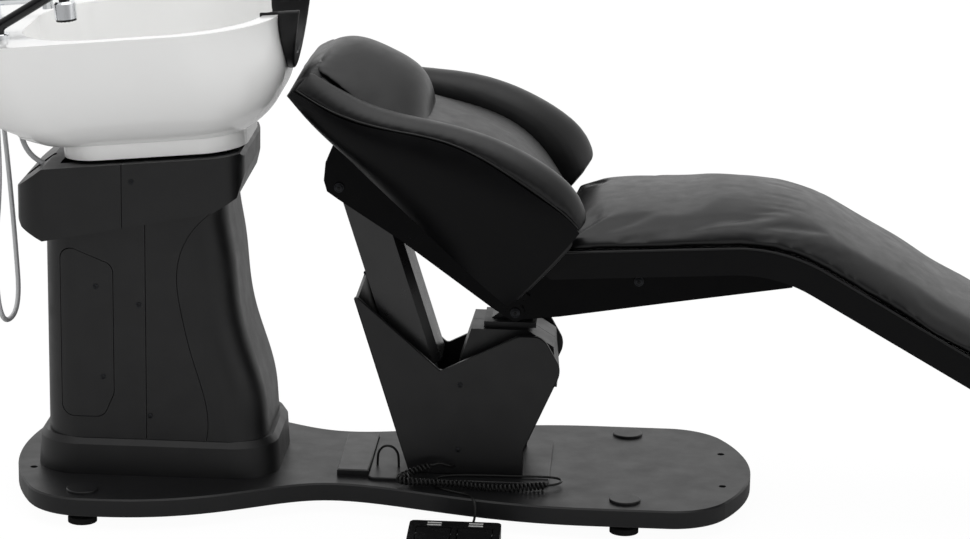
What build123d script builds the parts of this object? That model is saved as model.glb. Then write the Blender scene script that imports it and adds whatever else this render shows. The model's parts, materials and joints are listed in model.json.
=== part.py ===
from build123d import *
import math
import os

# Hair washing bed. X runs from the basin to the feet, Y from the near side to the far side,
# Z up. The origin is on the floor under the middle of the base plate. Millimetres, degrees.

# Small values that many pieces share
OVERRUN = 10.0
GAP = 0.3
RUN_FIT = 0.08

# Base plate
PLATE_LENGTH = 1400.0
PLATE_WIDTH = 500.0
PLATE_REAR_WIDTH = 596.0
PLATE_WAIST = 330.0
PLATE_THICK = 35.0
PLATE_EDGE = 3.0
PLATE_SKIN = 5.0
PLATE_WAIST_X = -120.0
FLOOR_GAP = 25.0
PLATE_TOP = FLOOR_GAP + PLATE_THICK
LOBE_END_BOW = 95.0
LOBE_FLAT_SHARE = 0.30
LOBE_CORNER = 122.0
ANCHOR_BORE = 7.0
ANCHOR_PLACES = ((-655.0, 126.0), (645.0, 96.0))
FOOT_PLACES = ((-541.0, 248.0), (463.0, 198.0))
FOOT_RADIUS = 27.0
FOOT_PAD_HEIGHT = 12.0
FOOT_DOME = 4.0
STUD_RADIUS = 6.0
STUD_SEAT = 4.0
NUT_ACROSS = 19.0
NUT_HEIGHT = 8.0
CAP_RADIUS = 29.0
CAP_HEIGHT = 5.0
CAP_PLUG_RADIUS = 22.0
CAP_PLUG_DEPTH = 8.0
CAP_EDGE = 2.0

# Plinth and column of the basin
COLUMN_X = -400.0
COLUMN_WIDTH = 296.0
COLUMN_REAR = 231.0
COLUMN_WALL = 4.0
COLUMN_CORNER = 72.0
COLUMN_SEAM_X = -436.0
SEAM_GAP = 1.2
COLUMN_TOP_Z = 606.0
PLINTH_HEIGHT = 70.0
PLINTH_FLARE = 12.0
PLINTH_WIDTH = 316.0
PLINTH_REAR = 252.0
PLINTH_FRONT = 207.0
PLINTH_CORNER = 84.0
PLINTH_TAPER = 6.0
COLUMN_FLARE_SHARES = ((0.0, 1.0), (0.09, 0.95), (0.22, 0.79), (0.39, 0.40), (0.60, 0.12), (0.76, 0.0),
                       (1.0, 0.0))
COLUMN_FRONT_FOOT = 187.0
COLUMN_FRONT_TOP = 121.0
COLUMN_FOOT_Z = PLATE_TOP + PLINTH_HEIGHT
HATCH_REAR_X = -596.0
HATCH_FRONT_X = -497.0
HATCH_LOW_Z = 172.0
HATCH_HIGH_Z = 505.0
HATCH_SHARES = ((0.0, 0.0), (0.80, 0.0), (1.0, 0.14), (1.0, 0.88), (0.0, 1.0))
HATCH_CORNER = 22.0
PANEL_REAR_X = -377.0
PANEL_REACH = 84.0
PANEL_SHARES = ((0.64, 0.0), (0.68, 0.09), (0.57, 0.20), (0.33, 0.342), (0.095, 0.52), (0.0, 0.655), (0.095, 0.765),
                (0.43, 0.868), (1.0, 0.94))
FRAME_X = -445.0
FRAME_TUBE = 30.0
FRAME_WALL = 3.0
FRAME_HALF_X = 110.0
FRAME_HALF_Y = 100.0
FRAME_PLATE = 8.0
FRAME_TOP_Z = 596.0
SCREW_HEAD = 5.0
SCREW_RAISE = 1.5
SCREW_SHANK = 2.5
SCREW_REACH = 10.0

# Collar that the basin leans on
COLLAR_WIDTH = 340.0
COLLAR_WALL = 5.0
COLLAR_CORNER = 60.0
COLLAR_LENGTH = 422.0
COLLAR_REAR_X = -677.0
COLLAR_SEAM_X = -475.0
COLLAR_LOW_Z = 512.0
COLLAR_RISE = 180.0
COLLAR_SHARES = ((0.0, 0.20), (0.0, 0.52), (0.129, 0.755), (0.985, 0.945), (1.0, 0.90), (1.0, 0.70), (0.975, 0.49),
                 (0.874, 0.35), (0.126, 0.0), (0.026, 0.117))

# Basin, in its own frame: u towards the neck, w up from the underside of its foot
BOWL_X = -434.0
BOWL_Z = 671.0
BOWL_TILT = 5.5
BOWL_LENGTH = 647.0
BOWL_FRONT = 262.0
BOWL_WIDTH = 500.0
BOWL_HEIGHT = 238.0
BOWL_BODY_LOW = 30.0
BOWL_OUTER_SHARES = ((0.0, 0.27, 0.117, 0.62), (0.17, 0.158, 0.046, 0.80), (0.42, 0.065, 0.003, 0.92),
                     (0.70, 0.02, 0.0, 0.975), (1.0, 0.0, 0.0, 1.0))
BOWL_CORNER_SHARES = (0.30, 0.33, 0.34, 0.34, 0.34)
BASIN_LOW = 52.0
BASIN_INNER_SHARES = ((0.0, 0.38, 0.18, 0.50), (0.16, 0.315, 0.095, 0.76), (0.48, 0.28, 0.055, 0.87),
                      (1.0, 0.263, 0.043, 0.90))
BASIN_CORNER_SHARES = (0.30, 0.34, 0.36, 0.36)
FLANGE_U = 8.0
FLANGE_LENGTH = 344.0
FLANGE_WIDTH = 290.0
FLANGE_CORNER = 80.0
DECK_THICK = 16.0
DECK_CAVITY_REAR = -345.0
DECK_CAVITY_FRONT = -226.0
DECK_CAVITY_WIDTH = 344.0
NOTCH_RADIUS = 88.0
NOTCH_DEPTH = 100.0
REST_LINER = 14.0
REST_LIP = 15.0
REST_INNER_U = 226.0
REST_TOP_OUT = 40.0
REST_LOW_OUT = 12.0
REST_RAISE = 6.0
REST_INNER_LIFT = 10.0
REST_OUTER_DROP = 6.0
DRAIN_U = -20.0
DRAIN_BORE = 26.0
DRAIN_FLANGE_RADIUS = 38.0
DRAIN_FLANGE_THICK = 3.0
DRAIN_TAIL_RADIUS = 20.0
DRAIN_TAIL_WALL = 2.0
DRAIN_TAIL_LOW = -46.0
STRAINER_RADIUS = 22.0
STRAINER_DEPTH = 14.0
STRAINER_WALL = 1.6
STRAINER_HOLE = 2.2
STRAINER_RING_SHARES = ((0.36, 5), (0.72, 10))
STRAINER_RIM = 29.0
STRAINER_KNOB = 4.0
WASTE_CUP_RADIUS = 34.0
WASTE_CUP_WALL = 3.0
WASTE_CUP_HEIGHT = 70.0
WASTE_PIPE_RADIUS = 20.0
WASTE_PIPE_LOW = 190.0
TRAP_RADIUS = 40.0
TRAP_HEIGHT = 90.0

# Basin hinge
HINGE_X = -586.0
HINGE_Z = 620.0
HINGE_PIN = 8.0
HINGE_EAR = 16.0
HINGE_EAR_THICK = 8.0
HINGE_EAR_Y = 70.0
BRACKET_THICK = 4.0
STOP_X = -312.0

# Tap and hand shower on the deck
TAP_U = -306.0
TAP_Y = 70.0
TAP_BORE = 17.0
TAP_SHANK = 15.0
TAP_BASE_RADIUS = 26.0
TAP_HEIGHT = 58.0
TAP_BODY_RADIUS = 22.0
TAP_SPOUT_RADIUS = 11.0
TAP_SPOUT_LENGTH = 112.0
TAP_HEAD_HEIGHT = 22.0
LEVER_LENGTH = 92.0
LEVER_RADIUS = 6.0
LEVER_ROOT = 7.8
LEVER_RISE = 12.0
LEVER_LIFT_SHARE = 0.6
HOLDER_U = -242.0
HOLDER_Y = -150.0
HOLDER_RADIUS = 19.0
HOLDER_HEIGHT = 10.0
HOLDER_SHANK_LOW = 26.0
SHOWER_TUBE = 10.0
SHOWER_ROUTE_SHARES = ((0.0, -0.35), (0.0, 0.28), (0.84, 0.95), (1.0, 0.95), (1.0, 0.77))
SHOWER_ROUNDS = (18.0, 20.0, 12.0)
SHOWER_REACH = 126.0
SHOWER_RISE = 80.0
SHOWER_HEAD_RADIUS = 20.0
SHOWER_HEAD_LENGTH = 32.0
SHOWER_FACE_THICK = 4.0
NOZZLE_RADIUS = 1.2
NOZZLE_RAISE = 1.2
NOZZLE_RING_SHARES = ((0.0, 1), (0.36, 6), (0.70, 12))
HOSE_RADIUS = 4.9
SUPPLY_RADIUS = 5.0
SUPPLY_HOLE = 28.0
SUPPLY_SWING = 8.0
POCKET_DEPTH = 20.0
POCKET_MARGIN = 20.0

# Lift housing
HOUSING_REAR_X = -54.0
HOUSING_LENGTH = 392.0
HOUSING_FOOT_Z = PLATE_TOP + 6.0
HOUSING_HEIGHT = 339.0
HOUSING_WIDTH = 200.0
HOUSING_SKIN = 8.0
HOUSING_SHARES = ((0.0, 1.0), (0.023, 1.0), (0.421, 0.596), (0.79, 0.812), (0.905, 0.812), (1.0, 0.62), (0.824, 0.15),
                  (0.824, 0.0), (0.276, 0.0))
HOUSING_ROUND = 24.0
HOUSING_ROUND_SHARES = (0.12, 0.12, 0.35, 1.2, 1.3, 1.6, 1.0, 0.12, 0.12)
HOUSING_EDGE = 2.0
TOWER_SHARES = (0.59, 0.80, 0.85)
MOUNT_FLANGE_LENGTH = 340.0
MOUNT_FLANGE_WIDTH = 268.0
MOUNT_FLANGE_X = 149.0
MOUNT_FLANGE_THICK = HOUSING_FOOT_Z - PLATE_TOP
COVER_THICK = 5.0
COVER_DROP = 9.0
SPINE_WIDTH = 136.0
SPINE_INSET_SHARES = (1.2, 0.8, 0.2, 0.8)
SPINE_SHARES = ((0.49, 0.56), (0.56, 0.82), (0.83, 0.82), (0.955, 0.73), (0.975, 0.50), (0.94, 0.50))
DECK_SHARES = ((0.46, 0.585), (0.79, 0.775), (0.90, 0.775), (0.975, 0.62), (0.955, 0.55))
CABLE_BOX_X = -56.0
CABLE_BOX_LENGTH = 50.0
CABLE_BOX_WIDTH = 226.0
CABLE_BOX_HEIGHT = 13.0

# Bed pivot, lift arm and its drive
PIVOT_X = 247.0
PIVOT_Z = 378.0
PIVOT_PIN = 8.0
PIVOT_BOSS = 17.0
PIVOT_EAR_Y = 22.0
EAR_SHOULDER_SHARE = 0.85
PIVOT_FOOT_X = 237.0
PIVOT_FOOT_LENGTH = 98.0
PIVOT_FOOT_WIDTH = 100.0
PIVOT_FOOT_THICK = 10.0
ARM_PIN_X = -85.0
ARM_PIN_Z = 608.0
ARM_PIN = 8.0
ARM_BOSS = 16.0
ARM_PIN_PLAY = 2.0
DRIVE_X = 120.0
DRIVE_Z = 104.0
DRIVE_PIN = 8.0
DRIVE_TUBE = 25.0
DRIVE_LENGTH = 330.0
DRIVE_EYE = 20.0
DRIVE_NECK = 16.0
DRIVE_SEAT = 26.0
ROD_RADIUS = 14.0
ROD_HIDDEN = 120.0
ARM_DEPTH = 84.0
ARM_WIDTH = 124.0
ARM_WALL = 5.0
ARM_BEVEL = 14.0
ARM_LEAN = 18.0
ARM_HIDDEN = 250.0
ARM_TOP_HEIGHT = 6.0

# Bed frame
BACK_ANGLE = 40.0
BEAM_WIDTH = 138.0
BEAM_SKIN = 6.0
BEAM_DEPTH = 60.0
BACK_BEAM_SHARES = ((0.0, -0.28), (0.067, -0.37), (0.417, -0.63), (0.647, -0.93), (0.69, -0.97), (0.72, -0.77),
                    (0.753, -0.30), (0.77, 0.23), (0.77, 0.695), (0.0, 0.695))
SEAT_REAR_CLEAR = 26.0
SEAT_BEAM_SHARES = ((0.0, 0.0), (0.16, 0.075), (0.57, 0.36), (0.985, 0.64), (1.0, 0.80))
SEAT_BEAM_WIDTH = 125.4
BEAM_HEEL_SHARE = 0.7
SEAT_BEAM_LOW_Z = 362.0
SEAT_BEAM_RISE = 125.0
SEAT_BEAM_END_X = 768.0
BOLT_HEAD = 9.0
BOLT_HEAD_THICK = 5.0
SEAT_BOLT_X = 476.0
SEAT_BOLT_Z = 445.0

# Seat and leg pad
SEAT_REAR_X = 292.0
SEAT_REAR_Z = 484.0
KNEE_X = 722.0
KNEE_Z = 509.0
LEG_ANGLE = 29.5
LEG_LENGTH = 640.0
KNEE_RADIUS = 260.0
PAN_THICK = 50.0
PAN_WIDTH = 444.0
PAN_EDGE = 12.0
PAN_WALL = 8.0
PAD_WIDTH = 450.0
PAD_CROWN = 60.0
PAD_SHOULDER = 42.0
PAD_DRAW = 22.0
PAD_WIDEST_SHARE = 0.45
PAD_SECTION_SHARES = ((0.0, 0.93, 0.45), (0.015, 0.975, 0.74), (0.04, 0.995, 0.86), (0.08, 1.0, 0.88),
                      (0.15, 1.0, 0.94), (0.25, 1.0, 1.0), (0.33, 1.0, 0.99), (0.38, 1.0, 0.98),
                      (0.43, 1.0, 0.97), (0.48, 1.0, 0.97), (0.54, 1.0, 0.98), (0.62, 1.0, 1.0),
                      (0.74, 1.0, 1.0), (0.85, 1.0, 1.0), (0.92, 1.0, 1.0), (0.96, 0.995, 0.96),
                      (0.985, 0.975, 0.78), (1.0, 0.93, 0.45))

# Back, by sections across it: places along the back, heights above the line through the pivot
BACK_LENGTH = 600.0
BACK_HEIGHT = 300.0
BACK_HALF = 300.0
SHELL_WALL = 6.0
SHELL_BULGE_SHARES = (0.83, 0.40)
STATION_SHARES = (0.073, 0.217, 0.40, 0.55, 0.717, 0.867, 0.983)
RIM_SHARES = (0.80, 0.81, 0.763, 0.667, 0.455, 0.30, 0.22)
HALF_SHARES = (0.96, 0.987, 0.98, 0.933, 0.833, 0.707, 0.573)
BASE_SHARES = (0.82, 0.82, 0.74, 0.68, 0.60, 0.49, 0.40)
FOOT_SHARES = (0.14, 0.14, 0.14, 0.14, 0.14, 0.147, 0.167)
CREST_SHARES = (0.873, 0.973, 0.907, 0.78, 0.573, 0.447, 0.385)
INNER_SHARES = (0.653, 0.64, 0.633, 0.62, 0.56, 0.527, 0.467)
TOP_SHARES = (0.653, 0.747, 0.74, 0.62, 0.487, 0.427, 0.36)
BOARD_SHARES = (0.22, 0.22, 0.213, 0.207, 0.20, 0.20, 0.20)
BOARD_THICK = 8.0
CUSHION_CROWN = 10.0
CUSHION_SIDE = 6.0
CROWN_SHARES = (0.6, 1.0, 1.0, 0.5, 0.1, 0.1, 0.1)
BOLSTER_TUCK = 30.0
WING_APEX_SHARE = 0.55
WING_OUTER_SHARES = (0.25, 0.66)
WING_INNER_SHARES = (0.38, 0.25)
RIB_PLACE_SHARES = (0.12, 0.5, 0.88)
PILLOW_SINK = 8.0
PILLOW_SHOULDER_SHARE = 0.62
PILLOW_STATION_SHARES = (0.60, 0.635, 0.68, 0.745, 0.837, 0.913, 0.958, 0.978)
PILLOW_TOP_SHARES = (0.60, 0.65, 0.69, 0.70, 0.663, 0.61, 0.54, 0.46)
PILLOW_HALF_SHARES = (0.393, 0.453, 0.487, 0.50, 0.493, 0.467, 0.433, 0.373)

# Footswitch on the floor
SWITCH_X = 155.0
SWITCH_Y = -345.0
SWITCH_LENGTH = 168.0
SWITCH_DEPTH = 150.0
SWITCH_HEIGHT = 34.0
SWITCH_FRONT_HEIGHT = 26.0
SWITCH_WALL = 3.0
SWITCH_BASE_THICK = 4.0
SWITCH_FOOT = 2.0
SWITCH_CORNER = 14.0
PEDAL_WIDTH = 62.0
PEDAL_LENGTH = 104.0
PEDAL_THICK = 7.0
PEDAL_PITCH = 76.0
PEDAL_PIN = 3.0
PEDAL_DROP_SHARE = 0.8
RIDGE_WIDTH = 8.0
RIDGE_RAISE = 9.0
STRIP_LENGTH = 26.0
STRIP_WIDTH = 4.0
STRIP_SPREAD = 6.0
STRIP_THICK = 0.8

# Cords of the footswitch
CORD_RADIUS = 2.3
COIL_OUTER = 8.0
COIL_PITCH = 7.6
COIL_STEP = 0.01
CORD_BEND_SHARE = 0.45
HOSE_ROUTE = ((-755, 70, 806), (-738, 44, 716), (-722, 16, 612), (-710, 8, 470), (-702, 4, 330), (-716, -112, 330),
              (-724, -116, 470), (-708, -126, 598), (-706, -142, 716), (-710, -150, 832))
SUPPLY_ROUTE = ((-690, -40, 742), (-688, -40, 694), (-676, -40, 654), (-648, -40, 629), (-606, -40, 615))
LEAD_ROUTE = ((139.6, -92, 81.2), (137, -114, 85), (115.8, -124.9, 96.5), (100, -128, 92))
COIL_ROUTE = ((100, -128, 92), (44, -138, 76), (40, -174, 72), (128, -174, 76), (206, -177, 69), (258, -177, 68.6),
              (318, -152, 68.6))
COIL_BENDS = (18.0, 18.0, 160.0, 160.0, 120.0)
PEDAL_LEAD_ROUTE = ((318, -152, 68.6), (334, -145.3, 68.6), (344, -131, 69), (341, -113, 69), (324, -105.5, 69),
                    (300, -104.5, 69), (258, -107, 69), (208, -108, 69), (158, -111, 69), (122, -118, 69),
                    (103, -136, 69.5), (102, -154, 63), (122, -176, 62.6), (148, -192, 62.6), (172, -202, 62.6),
                    (184, -228, 66), (190, -243, 44), (184, -246, 14), (170, -252, 8.2), (160, -272, 12))
SPARE_LOOP_ROUTE = ((32, -66, 66), (32, -66, 79), (30, -65, 94), (20, -63, 105), (4, -61, 106), (-7, -59, 94),
                    (-9, -58, 79), (-9, -58, 66))
COLUMN_SCREWS = ((-449.0, 391.0), (-429.0, 176.0), (-529.0, 424.0), (-517.0, 250.0))
COLLAR_SCREWS = ((-457.0, 630.0),)
HOUSING_SCREW_SHARES = ((0.515, 0.52), (0.51, 0.145))


def block(x0, x1, y0, y1, z0, z1):
    middle = Pos((x0 + x1) / 2, (y0 + y1) / 2, (z0 + z1) / 2)
    return middle * Box(x1 - x0, y1 - y0, z1 - z0)


def post(radius, x, y, z0, z1):
    return Pos(x, y, (z0 + z1) / 2) * Cylinder(radius, z1 - z0)


def cross_rod(radius, x, z, y0, y1):
    return Pos(x, (y0 + y1) / 2, z) * Rot(90, 0, 0) * Cylinder(radius, y1 - y0)


def long_rod(radius, start, end):
    line = Line(start, end)
    return sweep(Plane(origin=start, z_dir=line % 0) * Circle(radius), path=line)


def side_face(points, y_far, rounds=None):
    """A face in a plane across Y, from corners given as (X, Z), with a radius for each corner."""
    plane = Plane(origin=(0, y_far, 0), x_dir=(1, 0, 0), z_dir=(0, -1, 0))
    outline = FilletPolyline(*points, radius=rounds, close=True) if rounds else Polyline(*points, close=True)
    return plane * make_face(outline)


def side_slab(points, y_near, y_far, rounds=None):
    return extrude(side_face(points, y_far, rounds), amount=y_far - y_near)


def round_slab(length, width, corner, x, z0, z1, y=0.0):
    """An upright plate with round corners."""
    return Pos(x, y, z0) * extrude(RectangleRounded(length, width, corner), amount=z1 - z0)


def shared_outline(shares, x0, length, z0, height, grow=0.0):
    return [(x0 + a * length, z0 + b * height + grow) for a, b in shares]


def group(pieces):
    """Like pieces that share a node, each still a solid of its own."""
    return Compound([solid for piece in pieces for solid in piece.solids()])


def save(name, shape):
    export_step(shape, "parts/" + name + ".step")


# Base


def plate_face(inset=0.0):
    """The plate's outline from above: a broad lobe under the basin, a waist, and a lobe under the seat."""
    half = PLATE_LENGTH / 2 - inset
    lobe = PLATE_WIDTH / 2 - inset
    rear = PLATE_REAR_WIDTH / 2 - inset
    flat = PLATE_LENGTH / 2 - LOBE_END_BOW - PLATE_LENGTH * LOBE_FLAT_SHARE / 2
    rear_flat = -PLATE_LENGTH / 2 + LOBE_END_BOW + PLATE_LENGTH * LOBE_FLAT_SHARE / 4
    waist = PLATE_WAIST / 2 - inset
    end = half - LOBE_END_BOW
    near = Spline((rear_flat, -rear), (PLATE_WAIST_X, -waist), (flat, -lobe), tangents=((1, 0), (1, 0)))
    far = Spline((flat, lobe), (PLATE_WAIST_X, waist), (rear_flat, rear), tangents=((-1, 0), (-1, 0)))
    edges = [Line((-end, -rear), (rear_flat, -rear)), near, Line((flat, -lobe), (end, -lobe)),
             ThreePointArc((end, -lobe), (half, 0), (end, lobe)), Line((end, lobe), (flat, lobe)), far,
             Line((rear_flat, rear), (-end, rear)), ThreePointArc((-end, rear), (-half, 0), (-end, -rear))]
    face = make_face(edges)
    corners = [v for v in face.vertices() if abs(abs(v.X) - end) < GAP]
    return fillet(corners, LOBE_CORNER - inset)


def both_sides(places):
    return [(x, sign * y) for x, y in places for sign in (-1, 1)]


def corner_feet():
    return both_sides(FOOT_PLACES)


def all_feet():
    """The corner feet, and one at the origin that carries the plate's narrow middle."""
    return corner_feet() + [(0.0, 0.0)]


def anchor_places():
    return both_sides(ANCHOR_PLACES)


def base_plate():
    plate = Pos(0, 0, FLOOR_GAP) * extrude(plate_face(), amount=PLATE_THICK)
    rims = plate.faces().sort_by(Axis.Z)
    plate = chamfer(rims[-1].edges() + rims[0].edges(), PLATE_EDGE)
    bosses = [post(ANCHOR_BORE + PLATE_SKIN * 2, x, y, FLOOR_GAP, PLATE_TOP) for x, y in anchor_places()]
    bosses += [post(CAP_RADIUS, x, y, FLOOR_GAP, PLATE_TOP) for x, y in all_feet()]
    hollow = Pos(0, 0, FLOOR_GAP - OVERRUN) * extrude(plate_face(PLATE_SKIN),
                                                     amount=PLATE_THICK - PLATE_SKIN + OVERRUN)
    plate = plate - drill(hollow, bosses)
    for x, y in anchor_places():
        plate -= post(ANCHOR_BORE, x, y, 0, PLATE_TOP + OVERRUN)
    for x, y in all_feet():
        plate -= post(STUD_RADIUS + GAP, x, y, 0, PLATE_TOP - CAP_PLUG_DEPTH)
    for x, y in corner_feet():
        plate -= post(CAP_PLUG_RADIUS + GAP, x, y, PLATE_TOP - CAP_PLUG_DEPTH - NUT_HEIGHT, PLATE_TOP + OVERRUN)
    return plate


def plate_caps():
    caps = []
    for x, y in corner_feet():
        disc = post(CAP_RADIUS, x, y, PLATE_TOP, PLATE_TOP + CAP_HEIGHT)
        disc = fillet(disc.faces().sort_by(Axis.Z)[-1].edges(), CAP_EDGE)
        plug = post(CAP_PLUG_RADIUS, x, y, PLATE_TOP - CAP_PLUG_DEPTH, PLATE_TOP)
        bore = post(CAP_PLUG_RADIUS - CAP_EDGE, x, y, PLATE_TOP - CAP_PLUG_DEPTH - OVERRUN, PLATE_TOP)
        caps.append(disc + (plug - bore))
    return caps


def foot_pads():
    pads = []
    for x, y in all_feet():
        pad = post(FOOT_RADIUS, x, y, 0, FOOT_PAD_HEIGHT)
        pad = fillet(pad.faces().sort_by(Axis.Z)[-1].edges(), FOOT_DOME)
        pads.append(pad - post(STUD_RADIUS, x, y, STUD_SEAT, FOOT_PAD_HEIGHT + OVERRUN))
    return pads


def foot_studs():
    top = PLATE_TOP - CAP_PLUG_DEPTH - GAP
    return [post(STUD_RADIUS, x, y, STUD_SEAT, top) for x, y in all_feet()]


def foot_nuts():
    nuts = []
    for x, y in all_feet():
        hexagon = RegularPolygon(NUT_ACROSS / 2, 6, major_radius=False)
        nut = Pos(x, y, FLOOR_GAP - NUT_HEIGHT) * extrude(hexagon, amount=NUT_HEIGHT)
        nuts.append(nut - post(STUD_RADIUS, x, y, 0, PLATE_TOP))
    return nuts


def mount_flange():
    corner = MOUNT_FLANGE_THICK * 2
    slab = round_slab(MOUNT_FLANGE_LENGTH, MOUNT_FLANGE_WIDTH, corner, MOUNT_FLANGE_X, PLATE_TOP, HOUSING_FOOT_Z)
    return chamfer(slab.faces().sort_by(Axis.Z)[-1].edges(), MOUNT_FLANGE_THICK / 4)


def cable_box():
    rear = CABLE_BOX_X - CABLE_BOX_LENGTH / 2
    front = MOUNT_FLANGE_X - MOUNT_FLANGE_LENGTH / 2
    box = block(rear, front, -CABLE_BOX_WIDTH / 2, CABLE_BOX_WIDTH / 2, PLATE_TOP, PLATE_TOP + CABLE_BOX_HEIGHT)
    return chamfer(box.faces().sort_by(Axis.Z)[-1].edges(), CABLE_BOX_HEIGHT / 6)


# Column of the basin


def plinth():
    length = PLINTH_REAR + PLINTH_FRONT
    middle = COLUMN_X + (PLINTH_FRONT - PLINTH_REAR) / 2
    low = Pos(middle, 0, PLATE_TOP) * RectangleRounded(length, PLINTH_WIDTH, PLINTH_CORNER)
    waist = PLINTH_HEIGHT - PLINTH_FLARE
    mid = Pos(middle, 0, PLATE_TOP + waist) * RectangleRounded(length - PLINTH_TAPER, PLINTH_WIDTH - PLINTH_TAPER,
                                                               PLINTH_CORNER)
    top = Pos(middle, 0, COLUMN_FOOT_Z) * RectangleRounded(length - PLINTH_FLARE * 2, PLINTH_WIDTH - PLINTH_FLARE * 2,
                                                           PLINTH_CORNER - PLINTH_FLARE)
    shell = loft([low, mid, top], ruled=True)
    room = FRAME_HALF_X + FRAME_TUBE
    deep = FRAME_HALF_Y + FRAME_TUBE
    return shell - block(FRAME_X - room, FRAME_X + room, -deep, deep, 0, COLUMN_FOOT_Z + OVERRUN)


def column_section(share, inset):
    reach = COLUMN_FRONT_TOP + (COLUMN_FRONT_FOOT - COLUMN_FRONT_TOP) * share[1]
    z = COLUMN_FOOT_Z + (COLUMN_TOP_Z - COLUMN_FOOT_Z) * share[0]
    length = COLUMN_REAR + reach - inset * 2
    middle = COLUMN_X + (reach - COLUMN_REAR) / 2
    return Pos(middle, 0, z) * RectangleRounded(length, COLUMN_WIDTH - inset * 2, COLUMN_CORNER - inset)


def column_shell():
    outer = loft([column_section(share, 0.0) for share in COLUMN_FLARE_SHARES])
    inner = loft([column_section(share, COLUMN_WALL) for share in COLUMN_FLARE_SHARES])
    return outer - inner


def collar_outline(inset=0.0):
    points = shared_outline(COLLAR_SHARES, COLLAR_REAR_X, COLLAR_LENGTH, COLLAR_LOW_Z, COLLAR_RISE)
    if not inset:
        return points
    middle_x = COLLAR_REAR_X + COLLAR_LENGTH / 2
    middle_z = COLLAR_LOW_Z + COLLAR_RISE / 2
    shrink_x = 1 - inset * 2 / COLLAR_LENGTH
    shrink_z = 1 - inset * 4 / COLLAR_RISE
    return [(middle_x + (x - middle_x) * shrink_x, middle_z + (z - middle_z) * shrink_z) for x, z in points]


def column_body():
    """The space that the column shell fills, as one solid."""
    return loft([column_section(share, -GAP) for share in COLUMN_FLARE_SHARES])


def collar_shell():
    half = COLLAR_WIDTH / 2
    middle_x = COLLAR_REAR_X + COLLAR_LENGTH / 2
    slab = side_slab(collar_outline(), -half, half)
    plan = round_slab(COLLAR_LENGTH, COLLAR_WIDTH, COLLAR_CORNER, middle_x, 0, COLLAR_LOW_Z + COLLAR_RISE + OVERRUN)
    outer = slab & plan
    inner_half = half - COLLAR_WALL
    core = side_slab(collar_outline(COLLAR_WALL), -inner_half, inner_half)
    hollow = core & round_slab(COLLAR_LENGTH - COLLAR_WALL * 2, COLLAR_WIDTH - COLLAR_WALL * 2,
                               COLLAR_CORNER - COLLAR_WALL, middle_x, 0, COLLAR_LOW_Z + COLLAR_RISE + OVERRUN)
    shell = outer - hollow
    return shell - column_body()


def collar_well():
    """The hole in the collar's top that the basin's ears and drain tail pass through."""
    reach = FLANGE_LENGTH / 2 - POCKET_MARGIN
    side = FLANGE_WIDTH / 2 - POCKET_MARGIN
    return block(BOWL_X - reach - OVERRUN, BOWL_X + reach, -side, side, COLLAR_LOW_Z + COLLAR_RISE / 2,
                 COLLAR_LOW_Z + COLLAR_RISE * 2)


def cut_seam(shape, seam_x, keep_rear):
    """The part of a shell on one side of its upright seam."""
    far = PLATE_LENGTH
    if keep_rear:
        return shape & block(seam_x - far, seam_x - SEAM_GAP / 2, -far, far, 0, far)
    return shape & block(seam_x + SEAM_GAP / 2, seam_x + far, -far, far, 0, far)


def hatch_block(y_near, y_far, grow=0.0):
    width = HATCH_FRONT_X - HATCH_REAR_X + grow * 2
    height = HATCH_HIGH_Z - HATCH_LOW_Z + grow * 2
    points = shared_outline(HATCH_SHARES, HATCH_REAR_X - grow, width, HATCH_LOW_Z - grow, height)
    return side_slab(points, y_near, y_far, HATCH_CORNER)


def panel_block(shift=0.0):
    rise = COLUMN_TOP_Z - COLUMN_FOOT_Z
    points = [(PANEL_REAR_X + a * PANEL_REACH + shift, COLUMN_FOOT_Z + b * rise) for a, b in PANEL_SHARES]
    low = (points[0][0], -OVERRUN)
    front = COLUMN_X + COLUMN_FRONT_FOOT * 2
    top = points[-1][1]
    outline = Polyline((front, top), (front, -OVERRUN), low, points[0])
    edges = [Spline(*points), outline, Line(points[-1], (front, top))]
    plane = Plane(origin=(0, COLUMN_WIDTH, 0), x_dir=(1, 0, 0), z_dir=(0, -1, 0))
    return extrude(plane * make_face(edges), amount=COLUMN_WIDTH * 2)


def column_pieces():
    shell = column_shell()
    rear = cut_seam(shell, COLUMN_SEAM_X, True)
    front = cut_seam(shell, COLUMN_SEAM_X, False)
    service = front & panel_block()
    front = front - panel_block(-SEAM_GAP)
    hatches = []
    for sign in (-1, 1):
        near, far = sorted((0, sign * COLUMN_WIDTH))
        hatches.append(rear & hatch_block(near, far))
        rear = rear - hatch_block(near, far, SEAM_GAP)
    return rear, front, service, hatches


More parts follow.
